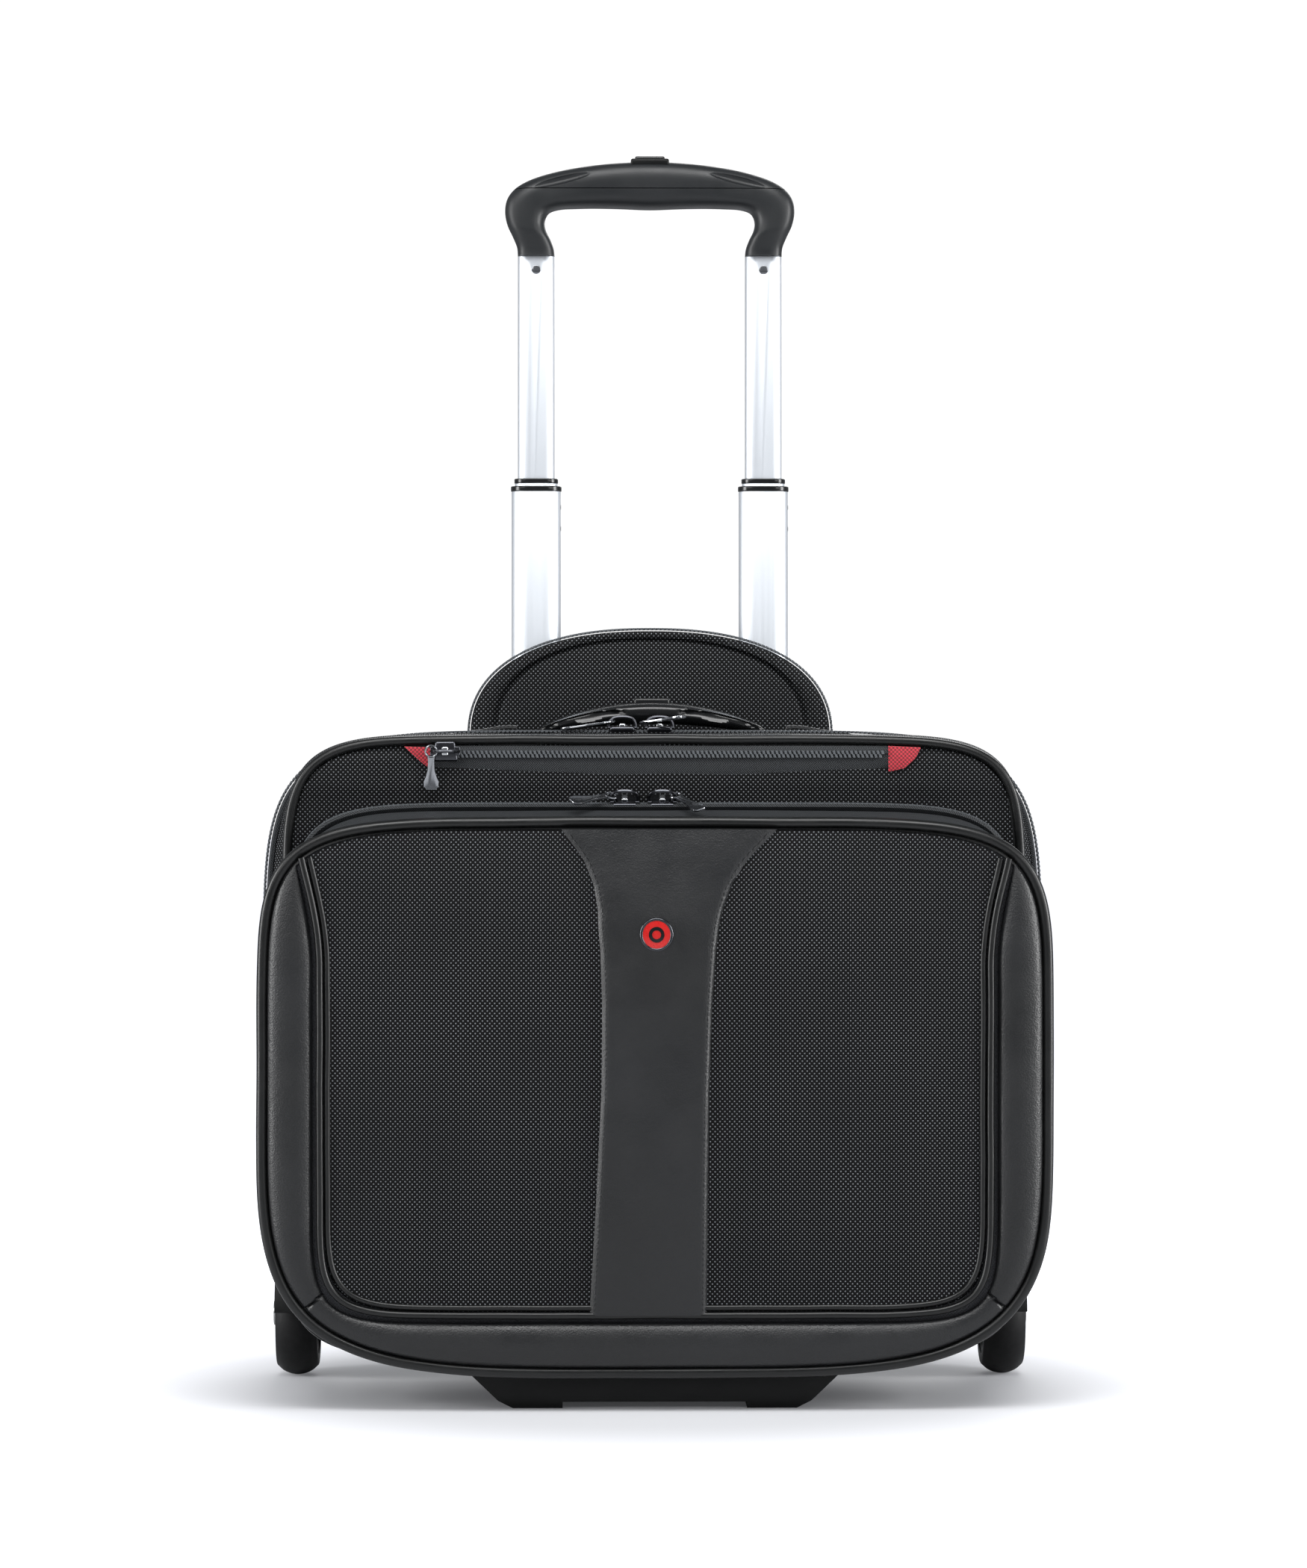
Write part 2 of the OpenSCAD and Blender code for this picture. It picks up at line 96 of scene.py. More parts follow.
def finish_of(name, colour, rough, **sockets):
    """A new material with a plain shader. Returns the material, its tree and the shader."""
    material = bpy.data.materials.new(name)
    material.use_nodes = True
    tree = material.node_tree
    shader = tree.nodes["Principled BSDF"]
    shader.inputs["Base Color"].default_value = linear(colour)
    shader.inputs["Roughness"].default_value = rough
    for socket, value in sockets.items():
        shader.inputs[socket.replace("_", " ")].default_value = value
    return material, tree, shader


def plug(tree, source, shader, socket):
    tree.links.new(source.outputs[0], shader.inputs[socket])


def relief(tree, height, depth, shader, strength=1.0):
    """Turns a height from 0 to 1 into a relief of that depth in millimetres."""
    bump = add(tree, "Bump", {"Height": height, "Distance": depth * MM, "Strength": strength})
    tree.links.new(bump.outputs["Normal"], shader.inputs["Normal"])


def blotches(tree, size, low, high):
    """A slow change between two values over patches of that size."""
    place = add(tree, "TexCoord")
    field = add(tree, "TexNoise", {"Vector": place.outputs["Object"], "Scale": 1 / (size * MM),
        "Detail": 3.0})
    return add(tree, "MapRange", {0: field.outputs[0], 1: 0.3, 2: 0.7, 3: low, 4: high})


def waves(tree, period_u, period_v):
    """The product of two waves along and across the cloth, from -1 to 1."""
    cloth = add(tree, "UVMap")
    axes = add(tree, "SeparateXYZ", {0: cloth})
    sines = []
    for axis, period in enumerate((period_u, period_v)):
        turned = add(tree, "Math", {0: axes.outputs[axis], 1: 2 * math.pi / (period * MM)},
            operation="MULTIPLY")
        sines.append(add(tree, "Math", {0: turned}, operation="SINE"))
    return add(tree, "Math", {0: sines[0], 1: sines[1]}, operation="MULTIPLY")


def ballistic_nylon():
    """1680-denier nylon in a plain weave on a black ground. The yarn crowns are painted light grey, a painted
    highlight on each crest, and are also glossier.
    """
    material, tree, shader = finish_of("ballistic_nylon", "#0c0c0d", 0.5, Specular_IOR_Level=0.14)
    # The crowns of the real cloth are 2.1 mm apart; they are drawn at 2.6 mm, so that they show.
    product = waves(tree, 2.6, 2.7)
    crown = add(tree, "MapRange", {0: product, 1: 0.42, 2: 0.85, 3: 0.0, 4: 1.0},
        interpolation_type="SMOOTHSTEP")
    patch = blotches(tree, 60, 0.75, 1.0)
    amount = add(tree, "Math", {0: crown, 1: patch}, operation="MULTIPLY")
    # The crowns are painted light grey over the near-black ground: a painted highlight on each crest of the
    # yarn.
    colour = add(tree, "Mix", {"Factor": amount, 6: linear("#030304"), 7: linear("#6f7275")},
        data_type="RGBA")
    tree.links.new(colour.outputs[2], shader.inputs["Base Color"])
    gloss = add(tree, "MapRange", {0: crown, 3: 0.7, 4: 0.34})
    plug(tree, gloss, shader, "Roughness")
    height = add(tree, "Math", {0: product}, operation="ABSOLUTE")
    relief(tree, height, 0.12, shader)
    return material


def leatherette():
    """PU on a knitted back, embossed with a fine pebble: a soft sheen that breaks up into small grains."""
    material, tree, shader = finish_of("leatherette", "#0e0f10", 0.42, Specular_IOR_Level=0.5)
    place = add(tree, "TexCoord")
    # The pebbles of the real skin are 0.4 mm; they are drawn at 0.9 mm, so that they show.
    pebble = add(tree, "TexVoronoi", {"Vector": place.outputs["Object"], "Scale": 1 / (0.9 * MM)})
    crease = add(tree, "TexNoise", {"Vector": place.outputs["Object"], "Scale": 1 / (3.5 * MM),
        "Detail": 4.0})
    height = add(tree, "Math", {0: pebble.outputs["Distance"], 1: 0.6, 2: crease.outputs[0]},
        operation="MULTIPLY_ADD")
    relief(tree, height, 0.2, shader, 0.9)
    plug(tree, blotches(tree, 25, 0.36, 0.48), shader, "Roughness")
    tint = blotches(tree, 90, 0.0, 1.0)
    colour = add(tree, "Mix", {"Factor": tint, 6: linear("#0b0c0d"), 7: linear("#141517")}, data_type="RGBA")
    tree.links.new(colour.outputs[2], shader.inputs["Base Color"])
    return material


def vinyl_piping():
    """Extruded vinyl over a cord: smooth, with a long soft highlight."""
    material, tree, shader = finish_of("vinyl_piping", "#090a0a", 0.33, Specular_IOR_Level=0.42)
    plug(tree, blotches(tree, 14, 0.28, 0.4), shader, "Roughness")
    place = add(tree, "TexCoord")
    ripple = add(tree, "TexNoise", {"Vector": place.outputs["Object"], "Scale": 1 / (9 * MM), "Detail": 2.0})
    relief(tree, ripple.outputs[0], 0.25, shader, 0.5)
    return material


def herringbone_tape():
    """Woven polyester zip tape: ribs slant one way, then the other, in 3 mm lanes."""
    material, tree, shader = finish_of("herringbone_tape", "#161718", 0.6, Specular_IOR_Level=0.3)
    cloth = add(tree, "UVMap")
    axes = add(tree, "SeparateXYZ", {0: cloth})
    lane = add(tree, "Math", {0: axes.outputs[1], 1: 3 * MM}, operation="PINGPONG")
    slant = add(tree, "Math", {0: axes.outputs[0], 1: lane}, operation="ADD")
    turned = add(tree, "Math", {0: slant, 1: 2 * math.pi / (1.3 * MM)}, operation="MULTIPLY")
    rib = add(tree, "Math", {0: turned}, operation="SINE")
    share = add(tree, "MapRange", {0: rib, 1: -1.0, 2: 1.0})
    colour = add(tree, "Mix", {"Factor": share, 6: linear("#050506"), 7: linear("#36393c")}, data_type="RGBA")
    tree.links.new(colour.outputs[2], shader.inputs["Base Color"])
    relief(tree, share, 0.15, shader)
    return material


def nylon_coil():
    """Wound nylon monofilament: hard and shiny. Its base is painted mid grey, lighter than the dark nylon, as
    a painted highlight for the glint each turn catches beside a dark gap.
    """
    material, tree, shader = finish_of("nylon_coil", "#55585b", 0.24)
    plug(tree, blotches(tree, 8, 0.22, 0.36), shader, "Roughness")
    return material


def moulded(name, colour, rough, grain, depth, shine=0.4):
    """Injection-moulded plastic. Its tool was spark-eroded, which leaves a fine even grain."""
    material, tree, shader = finish_of(name, colour, rough, Specular_IOR_Level=shine)
    place = add(tree, "TexCoord")
    spark = add(tree, "TexNoise", {"Vector": place.outputs["Object"], "Scale": 1 / (grain * MM),
        "Detail": 2.0})
    relief(tree, spark.outputs[0], depth, shader, 0.6)
    plug(tree, blotches(tree, 18, rough * 0.88, rough * 1.15), shader, "Roughness")
    return material


def anodised_aluminium():
    """Extruded tube, brushed along its length and anodised clear: a broad highlight with faint lines."""
    material, tree, shader = finish_of("anodised_aluminium", "#d8dce1", 0.5, Metallic=1.0)
    place = add(tree, "TexCoord")
    drawn = add(tree, "Mapping", {"Vector": place.outputs["Object"], "Scale": (900.0, 900.0, 6.0)})
    streak = add(tree, "TexNoise", {"Vector": drawn, "Scale": 1.0, "Detail": 3.0})
    plug(tree, add(tree, "MapRange", {0: streak.outputs[0], 3: 0.45, 4: 0.56}), shader, "Roughness")
    relief(tree, streak.outputs[0], 0.01, shader, 0.3)
    return material


def plated(name, colour, rough):
    """Die-cast or turned metal with a plated skin: sharp highlights, slightly uneven."""
    material, tree, shader = finish_of(name, colour, rough, Metallic=1.0)
    plug(tree, blotches(tree, 5, rough * 0.8, rough * 1.3), shader, "Roughness")
    return material


def tyre_rubber():
    """Cast polyurethane: matt, with dust in its grain."""
    material, tree, shader = finish_of("tyre_rubber", "#0a0a0b", 0.55, Specular_IOR_Level=0.25)
    dust = blotches(tree, 3, 0.0, 1.0)
    colour = add(tree, "Mix", {"Factor": dust, 6: linear("#070708"), 7: linear("#101011")}, data_type="RGBA")
    tree.links.new(colour.outputs[2], shader.inputs["Base Color"])
    relief(tree, dust, 0.05, shader, 0.5)
    return material


def red_enamel():
    """Poured soft enamel under a clear dome of resin: deep colour and a sharp reflection."""
    material, tree, shader = finish_of("red_enamel", "#b30f0a", 0.35, Coat_Weight=0.4, Coat_Roughness=0.08)
    plug(tree, blotches(tree, 4, 0.24, 0.36), shader, "Roughness")
    return material


def woven(name, dark, light, period):
    """Plain tab fabric or lining: small threads with a dull, even surface."""
    material, tree, shader = finish_of(name, dark, 0.75, Sheen_Weight=0.15)
    product = waves(tree, period, period)
    share = add(tree, "MapRange", {0: product, 1: -0.6, 2: 0.9})
    colour = add(tree, "Mix", {"Factor": share, 6: linear(dark), 7: linear(light)}, data_type="RGBA")
    tree.links.new(colour.outputs[2], shader.inputs["Base Color"])
    relief(tree, share, 0.12, shader)
    return material


NYLON = ballistic_nylon()
LEATHER = leatherette()
PIPING = vinyl_piping()
TAPE = herringbone_tape()
COIL = nylon_coil()
GLOSS = moulded("gloss_abs", "#08090a", 0.22, 0.7, 0.03, 0.5)
MATTE = moulded("grained_abs", "#070808", 0.4, 0.6, 0.06, 0.2)
SOFT_TOUCH = moulded("soft_touch_abs", "#16181a", 0.42, 0.6, 0.06)
HUB = moulded("glass_filled_nylon", "#151618", 0.5, 0.8, 0.05, 0.3)
ALUMINIUM = anodised_aluminium()
STEEL = plated("zinc_plated_steel", "#b4b5b3", 0.24)
GUNMETAL = plated("gunmetal_plating", "#4a4b4f", 0.2)
SMOKED_NICKEL = plated("smoked_nickel_plating", "#a0a2a6", 0.16)
NICKEL = plated("polished_nickel", "#c4c6c9", 0.16)
RUBBER = tyre_rubber()
ENAMEL = red_enamel()
RED = woven("red_nylon", "#5e0d12", "#c4283a", 2.2)
LINING = woven("brushed_lining", "#1d1e21", "#33353a", 1.8)
WEBBING = woven("ribbed_webbing", "#0f1011", "#26282a", 2.4)

# ---------------------------------------------------------------- outlines


def bow(v, p):
    return math.copysign(abs(v) ** (2 / p), v)


def spread(points, count, ring):
    """The same line with evenly spaced points."""
    line = points + points[:1] if ring else points
    at = [0.0]
    for a, b in zip(line, line[1:]):
        at.append(at[-1] + math.dist(a, b))
    out, k = [], 0
    for i in range(count):
        want = at[-1] * i / (count if ring else count - 1)
        while k < len(at) - 2 and at[k + 1] < want:
            k += 1
        share = (want - at[k]) / max(at[k + 1] - at[k], 1e-9)
        out.append(tuple(a + (b - a) * share for a, b in zip(line[k], line[k + 1])))
    return out


def outline(half, low, high, p_up, p_low):
    """A superellipse in the XZ plane, from its lowest middle point round by the right."""
    middle, rise, dense = (low + high) / 2, (high - low) / 2, []
    for i in range(2400):
        t = 2 * math.pi * i / 2400 - math.pi / 2
        p = p_up if math.sin(t) >= 0 else p_low
        dense.append((half * bow(math.cos(t), p), middle + rise * bow(math.sin(t), p)))
    return spread(dense, 1500, True)


def case_outline(inset=0):
    return outline(CASE_HALF - inset, CASE_FLOOR + inset, CASE_TOP - inset, CASE_POWER, CASE_POWER)


def lid_outline(inset=0):
    return outline(LID_HALF - inset, CASE_FLOOR + inset, CASE_TOP - inset, LID_POWER, LID_POWER)


def pocket_outline(inset):
    return outline(POCKET_HALF - inset, POCKET_LIP + inset, POCKET_TOP - inset, *POCKET_POWERS)


def pocket_wall():
    return outline(POCKET_HALF - 3, CASE_FLOOR + 0.5, POCKET_TOP, *POCKET_POWERS)


def field_outline(half):
    """The border of the front field. Near its top it flares out to meet the pocket's rounded corners."""
    points = []
    for x, z in outline(half, 233 - half, POCKET_TOP + 20, 6.5, 11):
        flare = 13.5 * min(1.2, max(0.0, (z - 238) / 62)) ** 2 if abs(x) > 100 else 0.0
        points.append((x + math.copysign(flare, x), z))
    return points


def pocket_zip_outline(inset=0):
    return outline(195.5 - inset, 33 + inset, 325 - inset, LID_POWER, LID_POWER)


def dome_outline(inset, base, top=DOME_TOP):
    """The half oval of the dome and of the flap, from its right end over the top to its left end."""
    points = []
    for i in range(400):
        t = math.pi * i / 399
        x, rise = (DOME_HALF - inset) * bow(math.cos(t), DOME_POWER), bow(math.sin(t), DOME_POWER)
        points.append((x, base + (top - inset - base) * rise))
    return spread(points, DOME_POINTS, False)


def portion(points, keep):
    """The one run of a closed outline's points that keep says yes to."""
    n = len(points)
    start = next(i for i in range(n) if keep(points[i]) and not keep(points[i - 1]))
    run = []
    while keep(points[start % n]):
        run.append(points[start % n])
        start += 1
    return run


def reach(points, centre):
    """A function that gives how far the outline is from centre in any direction."""
    table = sorted((math.atan2(z - centre[1], x - centre[0]), math.dist((x, z), centre)) for x, z in points)

    def radius(angle):
        i = bisect(table, (angle,))
        a, b = table[i - 1], table[i % len(table)]
        gap = (b[0] - a[0]) % (2 * math.pi) or 1e-9
        return a[1] + (b[1] - a[1]) * ((angle - a[0]) % (2 * math.pi)) / gap

    return radius


def trace(points, ring):
    """Each point of a line in the XZ plane, with the line's direction and its outward side."""
    run, n = [], len(points)
    for i, (x, z) in enumerate(points):
        a = points[i - 1] if ring or i else points[0]
        b = points[(i + 1) % n] if ring or i + 1 < n else points[-1]
        t = Vector((b[0] - a[0], 0, b[1] - a[1])).normalized()
        run.append((Vector((x, 0, z)), t, Vector((t.z, 0, -t.x))))
    return run


def closed(points, count=420):
    return trace(spread(points, count, True), True)


def opened(points, count):
    return trace(spread(points, count, False), False)


# ---------------------------------------------------------------- building


def pick(obj):
    bpy.ops.object.select_all(action="DESELECT")
    obj.select_set(True)
    bpy.context.view_layer.objects.active = obj
    return obj


def modify(obj, kind, **settings):
    """Adds a modifier and applies it."""
    pick(obj)
    made = obj.modifiers.new(kind, kind)
    for name, value in settings.items():
        setattr(made, name, value)
    bpy.ops.object.modifier_apply(modifier=made.name)
    return obj


def outwards(obj):
    """Closes doubles and turns every face outwards."""
    work = bmesh.new()
    work.from_mesh(obj.data)
    bmesh.ops.remove_doubles(work, verts=work.verts, dist=1e-6)
    bmesh.ops.recalc_face_normals(work, faces=work.faces)
    work.to_mesh(obj.data)
    work.free()
    return obj


def skin(name, rows, ring, loop, inner=None):
    """Joins rows of points into one surface. ring closes each row and loop the rows; open ends are capped.
    Rows from inner on get the second material. The UV map is in metres along and across the surface."""
    high, wide = len(rows), len(rows[0])
    guide = max(rows, key=lambda row: sum(math.dist(a, b) for a, b in zip(row, row[1:])))
    across, along = [0.0], [0.0]
    for c in range(wide):
        across.append(across[-1] + math.dist(guide[c], guide[(c + 1) % wide]))
    for r in range(high):
        a, b = rows[r], rows[(r + 1) % high]
        along.append(along[-1] + max(math.dist(a[c], b[c]) for c in range(0, wide, max(1, wide // 12))))
    faces, maps, kinds = [], [], []
    for r in range(high if loop else high - 1):
        for c in range(wide if ring else wide - 1):
            r2, c2 = (r + 1) % high, (c + 1) % wide
            faces.append((r * wide + c, r * wide + c2, r2 * wide + c2, r2 * wide + c))
            maps += [across[c], along[r], across[c + 1], along[r], across[c + 1], along[r + 1], across[c],
                along[r + 1]]
            kinds.append(int(inner is not None and r >= inner))
    ends = []
    if loop and not ring:
        ends = [[r * wide for r in range(high)], [r * wide + wide - 1 for r in range(high)]]
    if ring and not loop:
        ends = [list(range(wide)), [(high - 1) * wide + c for c in range(wide)]]
    points = [p for row in rows for p in row]
    for end in ends:
        faces.append(end)
        kinds.append(0)
        for i in end:
            maps += [points[i][0], points[i][2]]
    mesh = bpy.data.meshes.new(name)
    mesh.from_pydata([[v * MM for v in p] for p in points], [], faces)
    mesh.uv_layers.new(name="UVMap").data.foreach_set("uv", [v * MM for v in maps])
    mesh.polygons.foreach_set("material_index", kinds)
    obj = bpy.data.objects.new(name, mesh)
    bpy.context.scene.collection.objects.link(obj)
    return outwards(obj)


def flat_map(obj):
    """Lays the UV map of a front panel out in the XZ plane, so that its weave runs straight."""
    layer = obj.data.uv_layers[0].data
    for face in obj.data.polygons:
        for i in face.loop_indices:
            p = obj.data.vertices[obj.data.loops[i].vertex_index].co
            layer[i].uv = (p.x, p.z)
    return obj


def sweep(name, run, profile, ring=False, bend=None, inner=None):
    """Carries a closed profile of (outward, sideways) steps along a run."""
    rows = []
    for out, side in profile:
        row = [p + n * out + t.cross(n) * side for p, t, n in run]
        rows.append([bend(q) for q in row] if bend else row)
    return skin(name, rows, ring, True, inner)


def round_profile(radius, out, side, count=10):
    turns = [2 * math.pi * i / count for i in range(count)]
    return [(out + radius * math.cos(t), side + radius * math.sin(t)) for t in turns]


def pad(name, border, rows, centre):
    """A cushion-like panel. Each row, in order, is (share of the way from centre, outward step, depth)."""
    c = Vector((centre[0], 0, centre[1]))
    made = []
    for share, out, depth in rows:
        row = []
        for p, _, n in border:
            q = c + (p + n * out - c) * share
            row.append(Vector((q.x, depth(q.x, q.z) if callable(depth) else depth, q.z)))
        made.append(row)
    return flat_map(skin(name, made, True, False))


def wavy(amount, size, seed):
    """Moves a point a little, the way padded cloth is never quite even."""
    def bend(p):
        shift = noise.noise_vector(Vector(p) / size + Vector((seed, seed, seed)))
        return Vector(p) + shift * amount
    return bend


def coil(name, run, pitch, out, side, width, radius, slant, skip=0.0):
    """One row of a zip's coil: a small six-sided turn at every pitch along the run."""
    at = [0.0]
    for (a, _, _), (b, _, _) in zip(run, run[1:]):
        at.append(at[-1] + (b - a).length)
    points, faces, k = [], [], 0
    for i in range(int((at[-1] - skip) / pitch)):
        want = skip + i * pitch
        while at[k + 1] < want:
            k += 1
        share = (want - at[k]) / max(at[k + 1] - at[k], 1e-9)
        p, t, n = (run[k][j].lerp(run[k + 1][j], share) for j in range(3))
        w = t.cross(n)
        middle, base = p + n * out + w * side, len(points)
        for end in (-1, 1):
            for s in range(6):
                turn = math.radians(60 * s)
                q = middle + w * (end * width / 2) + t * (radius * math.cos(turn) + end * slant * width / 2)
                points.append((q + n * (radius * 0.9 * math.sin(turn))) * MM)
        faces += [(base + s, base + (s + 1) % 6, base + 6 + (s + 1) % 6, base + 6 + s) for s in range(6)]
        faces += [tuple(base + 5 - s for s in range(6)), tuple(base + 6 + s for s in range(6))]
    mesh = bpy.data.meshes.new(name)
    mesh.from_pydata(points, [], faces)
    obj = bpy.data.objects.new(name, mesh)
    bpy.context.scene.collection.objects.link(obj)
    return outwards(obj)


def dress(obj, body, slot, *materials, stands_for=(), smooth=40, fill=None):
    """Gives a finished piece its materials and shading, puts it on its body and hides the nodes that it
    stands for. Its slot is not used.
    """
    obj.data.materials.clear()
    for material in materials:
        obj.data.materials.append(material)
    pick(obj)
    bpy.ops.object.shade_smooth_by_angle(angle=math.radians(smooth))
    if body:
        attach(obj, body)
    if stands_for:
        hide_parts(*stands_for)
    return obj


def soften(name, node, width, segments=2, angle=30):
    """A copy of a CAD node with its triangles merged and its edges rounded."""
    obj = bpy.data.objects.new(name, nodes[node].data.copy())
    bpy.context.scene.collection.objects.link(obj)
    pick(obj)
    bpy.ops.mesh.customdata_custom_splitnormals_clear()
    work = bmesh.new()
    work.from_mesh(obj.data)
    bmesh.ops.remove_doubles(work, verts=work.verts, dist=1e-5)
    bmesh.ops.dissolve_limit(work, angle_limit=math.radians(0.8), verts=work.verts, edges=work.edges)
    work.to_mesh(obj.data)
    work.free()
    if width:
        modify(obj, "BEVEL", width=width * MM, segments=segments, limit_method="ANGLE",
            angle_limit=math.radians(angle))
    return obj


def block(name, low, high, bevel=0.0):
    """A box with rounded edges, between two corners."""
    bpy.ops.object.select_all(action="DESELECT")
    size = [(b - a) * MM for a, b in zip(low, high)]
    bpy.ops.mesh.primitive_cube_add(size=1, location=[(a + b) / 2 * MM for a, b in zip(low, high)],
        scale=size)
    obj = bpy.context.object
    obj.name = name
    settle(obj)
    if bevel:
        modify(obj, "BEVEL", width=bevel * MM, segments=3, limit_method="NONE")
    return obj


def rod(name, radius, length, at, turn=(0, 0, 0), sides=48):
    bpy.ops.object.select_all(action="DESELECT")
    bpy.ops.mesh.primitive_cylinder_add(vertices=sides, radius=radius * MM, depth=length * MM,
        location=[v * MM for v in at], rotation=[math.radians(v) for v in turn])
    obj = bpy.context.object
    obj.name = name
    return settle(obj)


def settle(obj):
    """Puts the object's place, turn and size into its mesh."""
    pick(obj)
    bpy.ops.object.transform_apply(location=True, rotation=True, scale=True)
    return obj


def cut(obj, *tools):
    """Takes the tools' shapes away from obj and removes the tools."""
    for tool in tools:
        modify(obj, "BOOLEAN", operation="DIFFERENCE", solver="EXACT", object=tool)
        bpy.data.objects.remove(tool)
    return obj


def join(name, *objs):
    bpy.ops.object.select_all(action="DESELECT")
    for obj in objs:
        obj.select_set(True)
    bpy.context.view_layer.objects.active = objs[0]
    bpy.ops.object.join()
    objs[0].name = name
    return objs[0]


def copy_to(obj, name, matrix):
    """A copy with its own mesh, put in its place by a matrix in metres."""
    made = bpy.data.objects.new(name, obj.data.copy())
    bpy.context.scene.collection.objects.link(made)
    made.data.transform(matrix)
    if matrix.determinant() < 0:
        outwards(made)
    return made


def between(x, knots):
    """Follows straight lines between (place, value) knots."""
    for (a, va), (b, vb) in zip(knots, knots[1:]):
        if x <= b:
            return va + (vb - va) * max(0.0, (x - a) / (b - a))
    return knots[-1][1]


def smooth_step(v):
    v = min(1.0, max(0.0, v))
    return v * v * (3 - 2 * v)


# ---------------------------------------------------------------- case body


def wheel_well(side):
    """The room that the case's corner leaves for a wheel: a round arch that is open below."""
    arch = rod("arch", WHEEL_R + 6.8, 60, (side * 214, AXLE_Y, WHEEL_R), (0, 90, 0), 72)
    below = block("below", (min(side * 184, side * 244), AXLE_Y - 41.8, -30),
        (max(side * 184, side * 244), AXLE_Y + 41.8, WHEEL_R))
    boss = rod("boss", 12, 16, (side * 183, AXLE_Y, WHEEL_R), (0, 90, 0))
    return [arch, below, boss]


def steps(a, b, count):
    return [a + (b - a) * i / (count - 1) for i in range(count)]


def rear_body():
    rise = lambda y: 1.4 * math.sin(math.pi * (y - ZIP_PLANE) / (REAR_END - ZIP_PLANE)) - 0.5
    outer = [(rise(y), y) for y in steps(ZIP_PLANE + 2.2, REAR_END - 0.2, 16)]
    inside = [(-3, y) for y in steps(REAR_END - 0.2, ZIP_PLANE + 2.2, 6)]
    shell = sweep("rear_shell", closed(case_outline()), outer + inside, True, wavy(0.8, 70, 3), 15)
    cut(shell, *wheel_well(-1), *wheel_well(1))
    dress(shell, "case", "ballistic_fabric", NYLON, LINING, stands_for=["rear_gusset"])

    tray = closed_wall("base_shell", lid_outline(), case_outline(1), LID_FRONT, ZIP_PLANE + 1.8,
        lambda p: p[1] < MAIN_ZIP_END)
    dress(tray, "case", "ballistic_fabric", NYLON, LINING, stands_for=["base_gusset"])

    middle = (0, 195)
    hollow = lambda x, z: REAR_END + 0.4 + 0.5 * noise.noise(Vector((x, z, 5)) / 60)
    crown = lambda x, z: REAR_END + 4.6 + 0.25 * noise.noise(Vector((x, z, 9)) / 50)
    rows = [(s, 0, hollow) for s in steps(0.02, 0.98, 12)]
    rows += [(1, out, REAR_END + y) for out, y in ((-1.2, 0.6), (-0.4, 1.6), (-0.3, 3), (-1.4, 4.4))]
    rows += [(s, -1.6, crown) for s in steps(0.99, 0.02, 14)]
    panel = pad("back_board", closed(case_outline(1)), rows, middle)
    cut(panel, *wheel_well(-1), *wheel_well(1))
    dress(panel, "case", "ballistic_fabric", NYLON, stands_for=["back_panel"], fill=0.8)

    above = opened(portion(case_outline(), lambda p: p[1] > MAIN_ZIP_END), 420)
    cord = sweep("rear_piping", above, round_profile(2.2, 0.6, REAR_END), False)
    dress(cord, "case", "leatherette", PIPING)

    divider = closed(portion(case_outline(5), lambda p: p[1] < 290), 260)
    rows = [(s, 0, lambda x, z: 31.2 - 0.9 * smooth_step((z - 40) / 200)) for s in steps(0.02, 0.97, 10)]
    rows += [(1, -1, 30.4), (1, 0, 32.5), (1, -1, 34.6)] + [(s, 0, 34.9) for s in steps(0.97, 0.02, 10)]
    sleeve = pad("laptop_sleeve", divider, rows, (0, 160))
    dress(sleeve, "case", "lining_fabric", LINING, stands_for=["laptop_divider"], fill=0.7)


def closed_wall(name, front, rear, y0, y1, keep, ease=14, swell=1.6):
    """A padded wall from the front outline to the rear one, which it meets over its last stretch, ease."""
    a, b = (spread(portion(o, keep), 420, False) for o in (front, rear))
    depth = y1 - y0
    levels = [(y, smooth_step((y - (y1 - ease)) / (ease - 2))) for y in steps(y0, y1, 16)]
    outer, inside, bend = [], [], wavy(0.7, 55, 7)
    for y, share in levels:
        line = [(p[0] + (q[0] - p[0]) * share, p[1] + (q[1] - p[1]) * share) for p, q in zip(a, b)]
        rise = swell * math.sin(math.pi * (y - y0) / depth) - 0.4
        outer.append([bend(p + n * rise + Vector((0, y, 0))) for p, _, n in trace(line, False)])
        inside.append([p - n * 3 + Vector((0, y, 0)) for p, _, n in trace(line, False)])
    return skin(name, outer + inside[::-1], False, True, len(outer) - 1)


